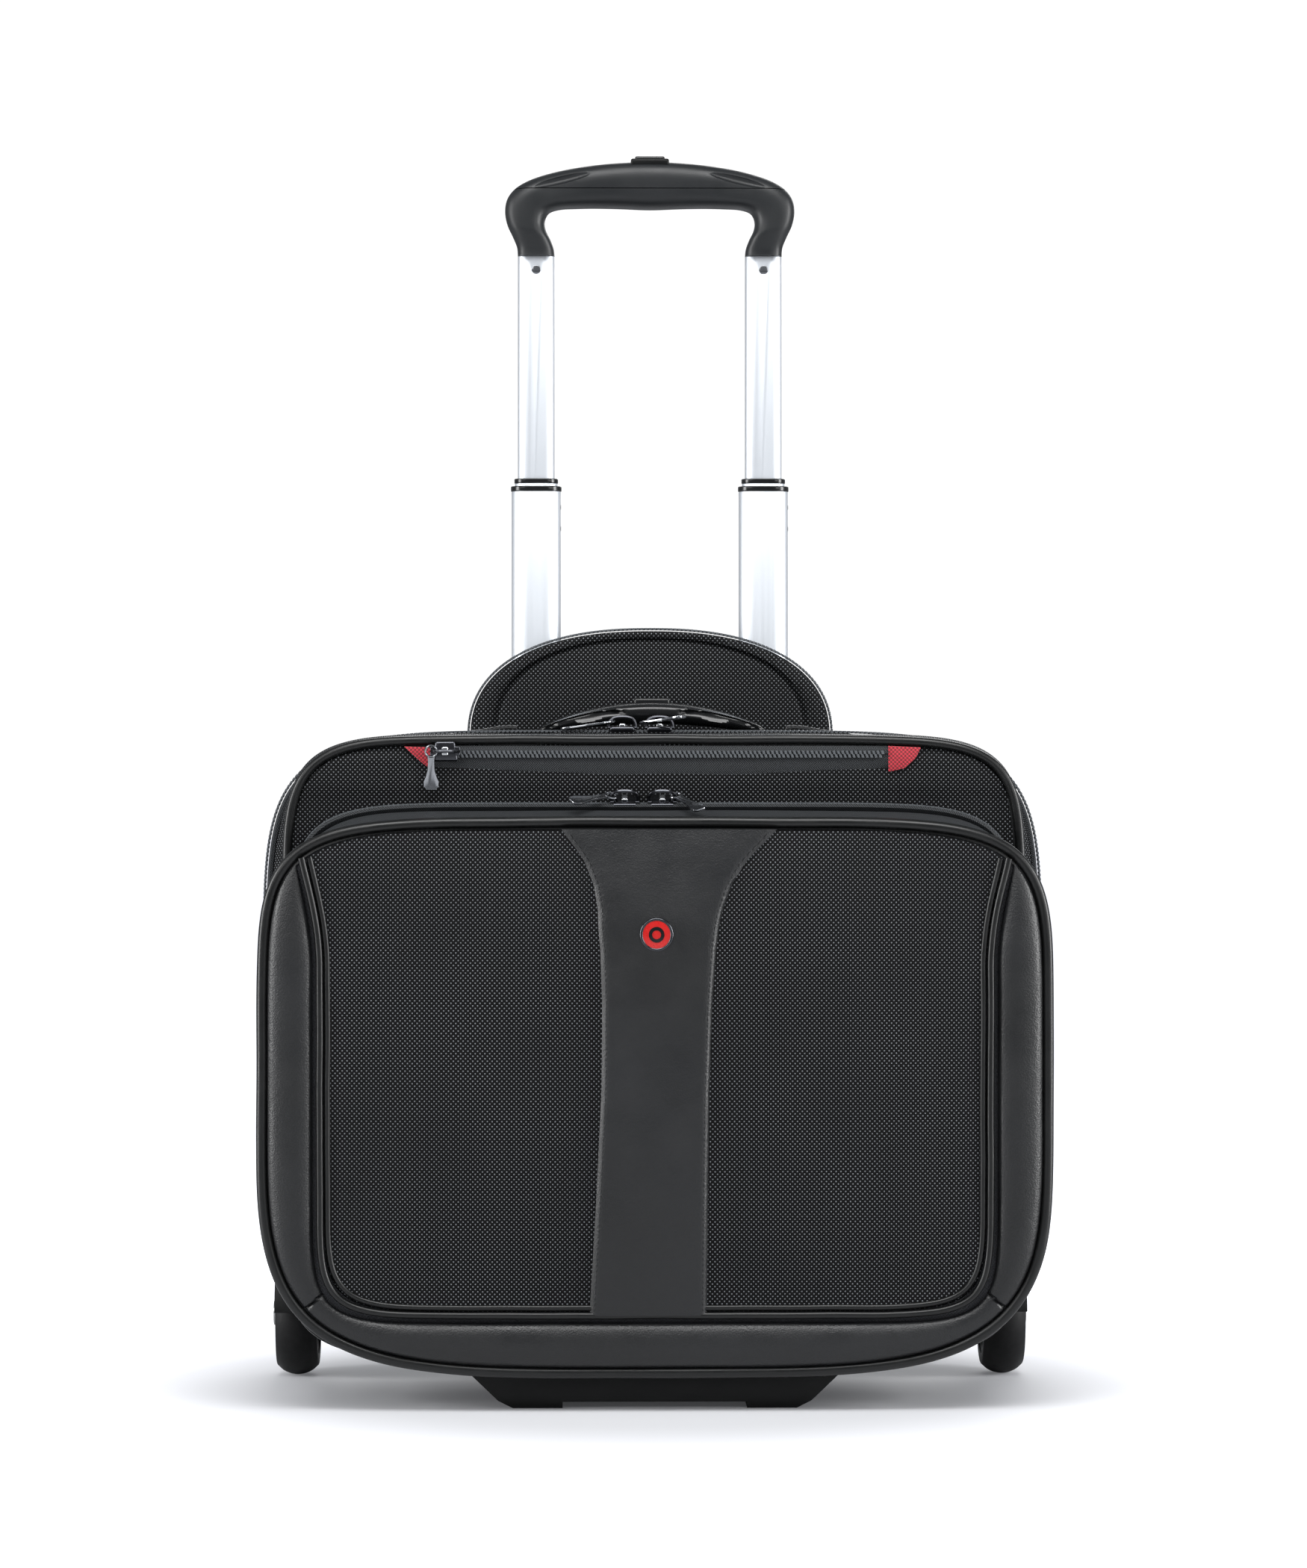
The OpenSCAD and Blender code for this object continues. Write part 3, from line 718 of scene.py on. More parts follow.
def trolley_back():
    """The sleeve that hides the trolley tubes, its dome-shaped top and the flap that closes over the grip."""
    def ring(z, grow):
        row = []
        for i in range(160):
            t = 2 * math.pi * i / 160
            row.append(((88 + grow) * bow(math.cos(t), 9), 94.7 + (15.4 + grow) * bow(math.sin(t), 9), z))
        return row

    plump = lambda z: 0.8 * math.sin(math.pi * (z - 36) / 321) + 0.4 * noise.noise(Vector((0, 0, z / 40)))
    rows = [ring(36, -14), ring(36.2, -4), ring(37.4, -1.2)] + [ring(z, plump(z)) for z in steps(40, 355, 26)]
    rows += [ring(356.6, -0.6), ring(357, -1.6), ring(356.6, -2.7)]
    rows += [ring(z, -3) for z in (354, 200, 42, 39)]
    rows.append(ring(38.8, -14))
    sleeve = skin("tube_sleeve", rows, True, False)
    dress(sleeve, "case", "ballistic_fabric", NYLON, stands_for=["tube_cover"], fill=0.4)
    strip = block("flap_hinge_strip", (-86, 109, 350.5), (86, 112, 357), 0.8)
    dress(strip, "case", "webbing", WEBBING)

    edge = dome_outline(0, CASE_TOP - 3) + [(x, CASE_TOP - 3) for x in steps(-102, 102, 80)]
    border = closed(edge, 300)
    def bulge(x, z):
        return 71.6 - 3 * max(0.0, 1 - (x / 92) ** 2) * max(0.0, math.sin(math.pi * (z - 350) / 72))

    rows = [(s, 0, bulge) for s in steps(0.03, 0.84, 12)]
    rows += [(0.86, 0, 73.8), (0.875, 0, 73.6), (0.9, 0, 71.6), (0.95, 0, 71.2), (0.99, 0, 72.2)]
    rows += [(1, -0.4, 73.6), (1, -0.2, 76.6), (1, -0.6, 77.6)]
    rows += [(s, 0, 77.8) for s in steps(0.97, 0.03, 5)]
    dome = pad("dome_front", border, rows, (0, 388))
    for face in dome.data.polygons:
        c = face.center / MM
        share = (abs(c.x) / DOME_HALF) ** DOME_POWER + max((c.z - 362) / 64, 0.0) ** DOME_POWER
        face.material_index = int(share > 0.84 ** DOME_POWER + 0.06)
    dress(dome, "case", "ballistic_fabric", NYLON, TAPE, stands_for=["dome_panel"], fill=0.5)

    rim = opened(dome_outline(0.2, CASE_TOP), 220)
    tape = sweep("dome_zip_tape", rim, [(-2.5, 77.9), (0, 77.9), (0.4, 79), (0, 79.8), (-2.5, 79.8)])
    dress(tape, "case", "zip_tape", TAPE, stands_for=["dome_zip"])
    for k, side in enumerate((77.3, 79.3)):
        dress(coil("dome_coil_%d" % k, rim, COIL_PITCH, 1.5, side, 1.9, COIL_RADIUS, COIL_SLANT,
            COIL_PITCH / 2 * k), "case", "zip_tape", COIL)

    flap_edge = [(x, FLAP_HINGE_Z - z) for x, z in dome_outline(0, 0, FLAP_DROP)]
    flap_edge += [(x, FLAP_HINGE_Z) for x in steps(-102, 102, 80)]
    flap_border = closed(flap_edge[::-1], 300)
    def swell(y, size):
        down = lambda z: max(0.0, math.sin(math.pi * (FLAP_HINGE_Z - z) / FLAP_DROP))
        return lambda x, z: y + size * max(0.0, 1 - (x / 98) ** 2) * down(z)

    rows = [(s, 0, swell(114.2, 0.4)) for s in steps(0.03, 0.95, 8)]
    rows += [(1, -0.8, 113.9), (1, 0, 115.4), (1, -0.8, 117)]
    rows += [(s, 0, swell(117.2, 2.4)) for s in steps(0.95, 0.03, 12)]
    flap = pad("grip_flap", flap_border, rows, (0, 328))
    dress(flap, "handle_flap", "ballistic_fabric", NYLON, stands_for=["handle_flap"], fill=0.6)
    run = opened([p for p in flap_edge[:DOME_POINTS] if p[1] < FLAP_HINGE_Z - 6][::-1], 200)
    tape = sweep("flap_zip_tape", run, [(-3, 112.7), (0.2, 112.7), (0.2, 113.7), (-3, 113.7)])
    dress(tape, "handle_flap", "zip_tape", TAPE, stands_for=["flap_zip"])
    dress(coil("flap_coil", run, 2.0, 0.7, 113.2, 1.8, 0.6, 0.3), "handle_flap", "zip_tape", COIL)


def undercarriage():
    dress(soften("front_foot", "foot_bar", 1.6, 3, 25), "case", "moulded_black", MATTE,
        stands_for=["foot_bar"], smooth=35)
    arches = soften("wheel_arches", "wheel_housings", 0.7, 2)
    for side in (-1, 1):
        cut(arches, block("below", (side * 181 - 9, AXLE_Y - 50, 0), (side * 181 + 9, AXLE_Y + 50, 26)))
    dress(arches, "case", "moulded_black", MATTE, stands_for=["wheel_housings"], smooth=35)
    dress(soften("tube_brackets", "channel_brackets", 0.8, 2), "case", "moulded_black", MATTE,
        stands_for=["channel_brackets"])
    dress(soften("tube_channels", "fixed_channels", 0), "case", "anodised_aluminium", ALUMINIUM,
        stands_for=["fixed_channels"], smooth=30)
    dress(soften("wheel_axles", "axles", 0.4), "case", "steel", STEEL, stands_for=["axles"], smooth=30)


def lathe(name, profile, side):
    """Turns a profile of (radius, along the axle) round a wheel's axle."""
    turns, rows = [2 * math.pi * i / 96 for i in range(96)], []
    for r, w in profile:
        rows.append([(side * (WHEEL_X + w), AXLE_Y + r * math.cos(t), WHEEL_R + r * math.sin(t))
            for t in turns])
    return skin(name, rows, True, True)


def wheels():
    crown_radius, crown_end = 15.6, 9.2

    def crown(w):
        if abs(w) < crown_end:
            return WHEEL_R - crown_radius + math.sqrt(crown_radius ** 2 - w * w)
        return WHEEL_R - 3.0 - (abs(w) - crown_end) * 0.95

    for side, word in ((-1, "left"), (1, "right")):
        body = "wheel_" + word
        tread = [(crown(w), w) for w in steps(-11.6, 11.6, 33)]
        tyre = lathe("tyre_" + word + "_cast",
            [(24, -11.8), (29, -11.9)] + tread + [(29, 11.9), (24, 11.8)], side)
        dress(tyre, body, "tyre_rubber", RUBBER, stands_for=["tyre_" + word], smooth=30)
        half = [(9.2, 10.8), (12.4, 10.8), (12.8, 10), (13, 4), (14, 3), (20, 3), (21, 4), (21.4, 10),
            (22, 10.9),
            (23.9, 10.9)]
        web = [(r, -w) for r, w in half] + half[::-1]
        hub = lathe("hub_" + word + "_cast", web, side)
        holes = []
        for k in range(6):
            turn = 2 * math.pi * k / 6
            at = (side * WHEEL_X, AXLE_Y + 17 * math.cos(turn), WHEEL_R + 17 * math.sin(turn))
            holes.append(rod("hole", 2.6, 30, at, (0, 90, 0), 20))
        cut(hub, join("holes", *holes))
        dress(hub, body, "hub_plastic", HUB, stands_for=["hub_" + word], smooth=30)
        dress(soften("bearing_" + word, "bearings_" + word, 0.5), body, "steel", STEEL,
            stands_for=["bearings_" + word], smooth=30)


# ---------------------------------------------------------------- main lid


def main_lid():
    shell = closed_wall("lid_shell", lid_outline(), case_outline(1), LID_FRONT - 0.3, ZIP_PLANE - 2,
        lambda p: p[1] > MAIN_ZIP_END + 0.3)
    dress(shell, "main_lid", "ballistic_fabric", NYLON, LINING, stands_for=["lid_gusset"])

    # The panel is held by the piping all round and swells a little between it and the pocket.
    def face(x, z):
        rise = 1.6 * smooth_step((z - 326) / 14) * smooth_step((360 - z) / 10)
        return LID_FRONT - 2.6 - rise + 0.5 * noise.noise(Vector((x, z, 2)) / 45)

    border = closed(lid_outline(4), 460)
    rows = [(s, 0, face) for s in steps(0.02, 0.84, 6)] + [(s, 0, face) for s in steps(0.85, 0.995, 26)]
    rows += [(1, 0, LID_FRONT - 2), (1, 0, LID_FRONT - 0.8)]
    rows += [(s, 0, LID_FRONT - 0.5) for s in steps(0.98, 0.02, 8)]
    panel = pad("lid_face", border, rows, (0, 195))
    dress(panel, "main_lid", "ballistic_fabric", NYLON, stands_for=["main_front_panel"], fill=0.5)

    cord = sweep("lid_piping", closed(lid_outline(2.4), 520), round_profile(2.7, 0, LID_FRONT - 3.2, 12),
        True, wavy(0.35, 40, 1))
    dress(cord, "main_lid", "leatherette", PIPING, stands_for=["main_piping"])
    lip = sweep("lid_piping_flange", closed(lid_outline(3), 520),
        [(-3, -68.6), (0, -68.8), (1.5, -66.6), (-3, -66.4)], True)
    dress(lip, "main_lid", "leatherette", PIPING)

    main_zip()
    slot_pocket()
    floor = portion(pocket_wall(), lambda p: p[1] < POCKET_ZIP_END)
    outer = [(1.2 * math.sin(math.pi * (y + 101) / 30) - 0.3, y)
        for y in steps(POCKET_FRONT + 1, LID_FRONT - 5, 9)]
    inside = [(-3, y) for y in steps(LID_FRONT - 5, POCKET_FRONT + 1, 5)]
    wall = sweep("pocket_floor_wall", opened(floor, 300), outer + inside, False, None, 8)
    dress(wall, "main_lid", "ballistic_fabric", NYLON, LINING, stands_for=["pocket_floor"])


def main_zip():
    """Both halves of the main zip and the lid's half of the pocket zip. The tapes rise to their coils."""
    run = opened(portion(case_outline(), lambda p: p[1] > MAIN_ZIP_END + 0.3), 480)
    rear = sweep("main_zip_tape_rear", run,
        [(-1.2, -12), (0.3, -12.4), (1.3, -17), (1.6, -19.6), (0.9, -19.7), (-1, -17.9)])
    dress(rear, "case", "zip_tape", TAPE, stands_for=["main_zip_rear"])
    lid = sweep("main_zip_tape_lid", run,
        [(-1, -22.1), (0.9, -20.3), (1.6, -20.4), (1.3, -23), (0.2, -26.6), (-1.4, -26.4)])
    pocket_run = opened(portion(pocket_zip_outline(), lambda p: p[1] > POCKET_ZIP_END + 0.3), 420)
    pocket = sweep("pocket_zip_tape_lid", pocket_run,
        [(-3.6, -70.3), (-0.6, -73.8), (1.3, -74.4), (1.9, -73.9), (0.4, -71.4), (-0.8, -70)])
    dress(join("zip_tapes_lid", lid, pocket), "main_lid", "zip_tape", TAPE, stands_for=["lid_zips"])
    dress(coil("main_coil_rear", run, COIL_PITCH, 2.7, -19.0, 2.2, COIL_RADIUS, COIL_SLANT), "case",
        "zip_tape", COIL)
    dress(coil("main_coil_lid", run, COIL_PITCH, 2.7, -21.1, 2.2, COIL_RADIUS, -COIL_SLANT, COIL_PITCH / 2),
        "main_lid", "zip_tape", COIL)
    dress(coil("pocket_coil_lid", pocket_run, COIL_PITCH, 2.7, -73.9, 2.0, COIL_RADIUS, -COIL_SLANT,
        COIL_PITCH / 2), "main_lid", "zip_tape", COIL)


def slot_pocket():
    """The slim pocket under the main piping: a bare zip between two red tabs, its lower tape a bit slack."""
    low = lambda x: 343.4 + 3.4 * abs((x - 3) / 122) ** 3
    rows = []
    folds = [(0, -69.9), (0.15, -70.6), (0.42, -70.9), (0.62, -70.9), (0.66, -71.4), (0.82, -71.4),
        (0.86, -70.8),
        (1, -70.2)]
    for share, y in folds:
        rows.append([(x, y, low(x) + (359.3 - low(x)) * share) for x in steps(-123, 128, 130)])
    rows += [[(x, y + 0.7, z) for x, y, z in row] for row in rows[::-1]]
    tape = skin("slot_zip_tape", rows, False, True)
    dress(tape, "main_lid", "zip_tape", TAPE, stands_for=["slot_zip"])
    line = [(Vector((x, 0, 354.7)), Vector((1, 0, 0)), Vector((0, -1, 0))) for x in steps(-118, 127, 60)]
    for k, side in enumerate((-0.95, 0.95)):
        dress(coil("slot_coil_%d" % k, line, COIL_PITCH, 72.1, side, 1.9, COIL_RADIUS, COIL_SLANT,
            COIL_PITCH / 2 * k), "main_lid", "zip_tape", COIL)

    left = [(-136.5, 358.9), (-121.9, 358.4), (-121.7, 346.2), (-126, 349.4), (-131.5, 354.2)]
    right = [(127.6, 359.2), (145.6, 358.4), (142.6, 352.4), (136.6, 347), (127.8, 345)]
    tabs = []
    for corners in (left, right):
        ring = spread(corners, 40, True)
        tabs.append(skin("tab", [[(x, y, z) for x, z in ring] for y in (-71.5, -70.6)], True, False))
    both = modify(join("red_tabs", *tabs), "BEVEL", width=0.25 * MM, segments=2, limit_method="ANGLE")
    dress(both, "main_lid", "red_fabric", RED, stands_for=["slot_tabs"])


# ---------------------------------------------------------------- front pocket

FIELD_MIDDLE = (0, 184)


def field_depth(x, z):
    """How far the padded front field stands forward."""
    swell = max(0.0, 1 - abs(x / 179) ** 3) * max(0.0, 1 - abs((z - 184) / 132) ** 3)
    return POCKET_FRONT - 8.2 - 8.5 * swell + 0.5 * noise.noise(Vector((x, z, 0)) / 55)


def front_field():
    pocket, field = reach(pocket_outline(6.5), FIELD_MIDDLE), reach(field_outline(178.5), FIELD_MIDDLE)
    edge = []
    for i in range(1200):
        a = 2 * math.pi * i / 1200 - math.pi / 2
        r = min(pocket(math.atan2(math.sin(a), math.cos(a))), field(math.atan2(math.sin(a), math.cos(a))))
        edge.append((FIELD_MIDDLE[0] + r * math.cos(a), FIELD_MIDDLE[1] + r * math.sin(a)))
    border = closed(edge, 480)
    rows = [(s, 0, field_depth) for s in steps(0.02, 0.9, 22) + steps(0.92, 0.995, 6)]
    rows += [(1, 0, POCKET_FRONT - 6.5), (1, 0, POCKET_FRONT - 2)]
    rows += [(s, 0, POCKET_FRONT - 1) for s in steps(0.97, 0.02, 8)]
    panel = pad("front_field", border, rows, FIELD_MIDDLE)
    dress(panel, "pocket_lid", "ballistic_fabric", NYLON, fill=0.6)
    board = closed(pocket_outline(4), 360)
    rows = [(s, 0, POCKET_FRONT - 4) for s in (0.02, 0.5, 0.96)]
    rows += [(1, 0, POCKET_FRONT - 3.6), (1, 0, POCKET_FRONT - 0.2)]
    rows += [(s, 0, POCKET_FRONT) for s in (0.97, 0.5, 0.02)]
    dress(pad("front_board", board, rows, FIELD_MIDDLE), "pocket_lid", "ballistic_fabric", LINING,
        stands_for=["pocket_panel"])


def leather_frame():
    """The U of padded leatherette round the field, mitred at its two lower corners."""
    inner = reach(field_outline(184.5), FIELD_MIDDLE)
    pairs = []
    for x, z in spread(pocket_outline(5), 1300, True):
        a = math.atan2(z - FIELD_MIDDLE[1], x - FIELD_MIDDLE[0])
        r, far = inner(a), math.dist((x, z), FIELD_MIDDLE)
        inside = (r * math.cos(a) + FIELD_MIDDLE[0], r * math.sin(a) + FIELD_MIDDLE[1])
        pairs.append(((x, z), inside, far - r))
    n = len(pairs)
    start = next(i for i in range(n) if pairs[i][2] > 0.8 and pairs[i - 1][2] <= 0.8)
    run = []
    while pairs[start % n][2] > 0.8:
        run.append(pairs[start % n])
        start += 1

    def mitre(x, z):
        gap = abs((abs(x) - 177.4) * 0.655 + (z - 65.4) * 0.757)
        return 2.1 * math.exp(-(gap / 0.75) ** 2) if z < 80 and abs(x) > 165 else 0.0

    rows = []
    for s in steps(0, 1, 18):
        row = []
        for (x, z), (u, w), width in run:
            px, pz = x + (u - x) * s, z + (w - z) * s
            full = min(1.0, width / 24)
            swell = (4 * s * (1 - s)) ** 0.55 * full * 5.6
            row.append((px, POCKET_FRONT - 5.6 - swell - 1.2 * s * full + mitre(px, pz), pz))
        rows.append(row)
    for s in (0.98, 0.5, 0.02):
        rows.append([(x + (u - x) * s, POCKET_FRONT - 4.2, z + (w - z) * s) for (x, z), (u, w), _ in run])
    dress(skin("leather_frame", rows, False, True), "pocket_lid", "leatherette", LEATHER,
        stands_for=["leather_border"], fill=0.6)


def front_strip():
    """The leatherette strip down the middle, which flares towards the top."""
    width = [(50, 31.7), (110, 30.1), (173, 29), (220, 29.6), (250, 31.2), (270, 33.4), (284, 37),
        (296, 43), (303, 48.4), (308, 53), (314, 58)]
    lean = [(50, -4), (180, 0), (262, 1.6), (290, 4.4), (314, 7.4)]
    rows = []
    for z in steps(52.5, 314, 110):
        half, middle = between(z, width), between(z, lean)
        front = [(middle + half * u, u) for u in steps(-1, 1, 34)]
        row = [(x, field_depth(x, z) - 2.6 * (1 - abs(u) ** 20) - 0.4, z) for x, u in front]
        row += [(x, field_depth(x, z) + 1.2, z) for x, u in front[::-6]]
        rows.append(row)
    dress(skin("front_strip", rows, True, False), "pocket_lid", "leatherette", LEATHER,
        stands_for=["center_strip"], smooth=50)

    seams = []
    for side in (-1, 1):
        for z in steps(56, 310, 84):
            x = between(z, lean) + side * (between(z, width) - 2.2)
            y = field_depth(x, z) - 2.35
            slope = (between(z + 1, width) - between(z - 1, width)) / 2 * side + 0.027
            run = [(Vector((x + slope * d, y + lift, z + d)), Vector((slope, 0, 1)).normalized(),
                Vector((0, -1, 0)))
                   for d, lift in ((-1.1, 0.3), (-0.7, -0.05), (0.7, -0.05), (1.1, 0.3))]
            seams.append(sweep("stitch", run, round_profile(0.26, 0, 0, 6)))
    dress(join("strip_stitching", *seams), "pocket_lid", "leatherette", WEBBING)


def badge():
    """A plain round badge: a ring of black enamel on a domed red ground, in a metal rim."""
    x, z = 0.4, 257.6
    base = field_depth(x, z) - 2.4

    def place(half, count=64):
        return closed([(x + a, z + b) for a, b in outline(half, -half, half, 2, 2)], count)

    rim = sweep("badge_frame", place(8.2), round_profile(0.95, 0, base - 0.5, 10), True)
    dress(rim, "pocket_lid", "gunmetal", GUNMETAL)
    dome = lambda u, v: base - 0.8 - 0.7 * max(0.0, 1 - ((u - x) ** 2 + (v - z) ** 2) / 90)
    rows = [(s, 0, dome) for s in steps(0.03, 0.97, 8)]
    rows += [(1, 0, base - 0.5), (1, 0, base + 1), (0.03, 0, base + 1)]
    red = pad("badge_enamel", place(7.8), rows, (x, z))
    dress(red, "pocket_lid", "red_enamel", ENAMEL, stands_for=["emblem"])
    mark = sweep("badge_mark", place(3.3, 48),
        [(-0.9, base - 1.35), (0.9, base - 1.3), (0.9, base - 1.62), (-0.9, base - 1.72)], True)
    dress(mark, "pocket_lid", "gloss_black", GLOSS)


def pocket_edges():
    cord = sweep("pocket_piping_outer", closed(pocket_outline(2.2), 560),
        round_profile(3.1, 0, POCKET_FRONT - 4.2, 14), True, wavy(0.4, 45, 4))
    pieces = [cord, sweep("flange", closed(pocket_outline(4), 400),
        [(-2, -107), (1.5, -106), (2, -102.6), (-2, -102.4)], True)]
    inner, top = reach(pocket_outline(6), FIELD_MIDDLE), []
    for x, z in field_outline(180.5):
        a = math.atan2(z - FIELD_MIDDLE[1], x - FIELD_MIDDLE[0])
        top.append((x, z, inner(a) - math.dist((x, z), FIELD_MIDDLE)))
    for inset, radius, forward in ((0, 2.0, 8.8), (4.1, 1.7, 8.4)):
        line = []
        for x, z, gap in top:
            lift = inset if z < 70 else inset * max(0, (184 - z) / 120)
            line.append((x * (1 - inset / 180), z + lift, gap))
        line = portion(line, lambda p: p[2] > -1.5)
        run = opened([(x, z) for x, z, _ in line], 480)
        pieces.append(sweep("inner", run, round_profile(radius, 0, POCKET_FRONT - forward, 10), False,
            wavy(0.3, 30, 6)))
    dress(join("pocket_piping_cords", *pieces), "pocket_lid", "leatherette", PIPING,
        stands_for=["pocket_piping"])

    # The pocket's side wall rolls in from the piping to the zip, and climbs to it along the top.
    side = closed_wall("pocket_side", pocket_wall(), pocket_zip_outline(1), POCKET_FRONT - 0.6, -77.4,
        lambda p: p[1] > POCKET_ZIP_END + 0.3, 19, 1.0)
    dress(side, "pocket_lid", "ballistic_fabric", TAPE, LINING, stands_for=["pocket_gusset"])

    run = opened(portion(pocket_zip_outline(), lambda p: p[1] > POCKET_ZIP_END + 0.3), 420)
    tape = sweep("pocket_zip_tape", run,
        [(1.6, -75.1), (0.9, -75.0), (-2.6, -77.2), (1, -81), (2.6, -80.6), (1.9, -77.6)])
    dress(tape, "pocket_lid", "zip_tape", TAPE, stands_for=["pocket_zip_front"])
    dress(coil("pocket_coil_front", run, COIL_PITCH, 2.7, -75.9, 2.0, COIL_RADIUS, COIL_SLANT),
        "pocket_lid", "zip_tape", COIL)


# ---------------------------------------------------------------- handles


def carry_handle():
    """A moulded arch with a rounded section and a long lens pressed into each half of its front and back."""
    def top(x):
        return max(366.6, 232.5 + math.sqrt(152 ** 2 - x * x)) if abs(x) < 152 else 366.6

    def bottom(x):
        return max(366.1, 372 - (323 - math.sqrt(323 ** 2 - x * x)))

    rows = []
    for x in steps(-87, 87, 150):
        crown = top(x) + (2.4 * smooth_step((66 - abs(x)) / 6) - 2.4 if abs(x) > 60 else 0)
        high = max(crown, bottom(x) + 2.6)
        if abs(x) > 68:
            high = 368.9 - 0.5 * smooth_step((abs(x) - 80) / 7)
        middle, rise = (high + bottom(x)) / 2, (high - bottom(x)) / 2
        half = 15 - 4.8 * smooth_step((abs(x) - 60) / 20) + (0 if abs(x) < 84 else -(abs(x) - 84) * 0.4)
        row = []
        for i in range(48):
            t = 2 * math.pi * i / 48
            y, z = 23 + half * bow(math.cos(t), 3.2), middle + rise * bow(math.sin(t), 2.8)
            lens = 1 - ((abs(x) - 38) / 25) ** 2 - ((z - middle - 0.8) / (rise * 0.42)) ** 2
            if lens > 0:
                y += -math.copysign(1.7 * min(1.0, lens * 3), y - 23)
            row.append((x, y, z))
        rows.append(row)
    arch = skin("carry_arch", rows, True, False)
    raised = block("raised", (-10, 15.5, 381.5), (10, 30.5, 386.6), 1.2)
    dress(join("carry_handle_moulding", arch, raised), "carry_handle", "gloss_black", GLOSS,
        stands_for=["carry_handle"], smooth=50)
    for side, word in ((-1, "left"), (1, "right")):
        line = [(112, 365.9), (108, 366.6), (103, 367.4), (97, 368.2), (91, 369.2), (86, 370.2),
            (80, 370.7), (76, 370.4)]
        rows = []
        for x, z in spread(line, 30, False):
            high = 0.9 + 0.25 * math.sin(x * 1.9)
            section = ((13, -0.9), (13, 0.6), (18, high), (28, high), (33, 0.6), (33, -0.9))
            rows.append([(side * x, y, z + dz) for y, dz in section])
        strap = skin("handle_strap_" + word, rows, True, False)
        dress(strap, None, "webbing", WEBBING)
        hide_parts("handle_tabs")
        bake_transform(strap)


def grip_sections():
    """Inner and outer points of the grip's right half, from the tube's top to the middle of the bar."""
    flat = [(54.9, 642.8, 76.1, 642.8), (55.4, 647, 76.6, 648), (57.2, 652, 79, 654), (59.6, 657, 82, 660.5),
        (60.5, 661.5, 83.4, 667), (59.6, 665.6, 83, 673), (57, 668.4, 80.8, 678), (51, 670, 76.4, 682.5),
        (43, 670.4, 69, 686.6), (34, 670.6, 59, 690), (24, 670.5, 45, 693.2), (14, 670.2, 28, 695.6),
        (5, 669.8, 12, 696.8), (0, 669.7, 0, 697)]
    fine = []
    for i in range(len(flat) - 1):
        p = [flat[max(0, i - 1)], flat[i], flat[i + 1], flat[min(len(flat) - 1, i + 2)]]
        for k in range(6):
            t = k / 6
            # A Catmull-Rom curve through the sections.
            fine.append([0.5 * (2 * b + (c - a) * t
                + (2 * a - 5 * b + 4 * c - d) * t * t
                + (3 * b - a - 3 * c + d) * t ** 3) for a, b, c, d in zip(*p)])
    fine.append(list(flat[-1]))
    return fine + [[-a, b, -c, d] for a, b, c, d in fine[-2::-1]]


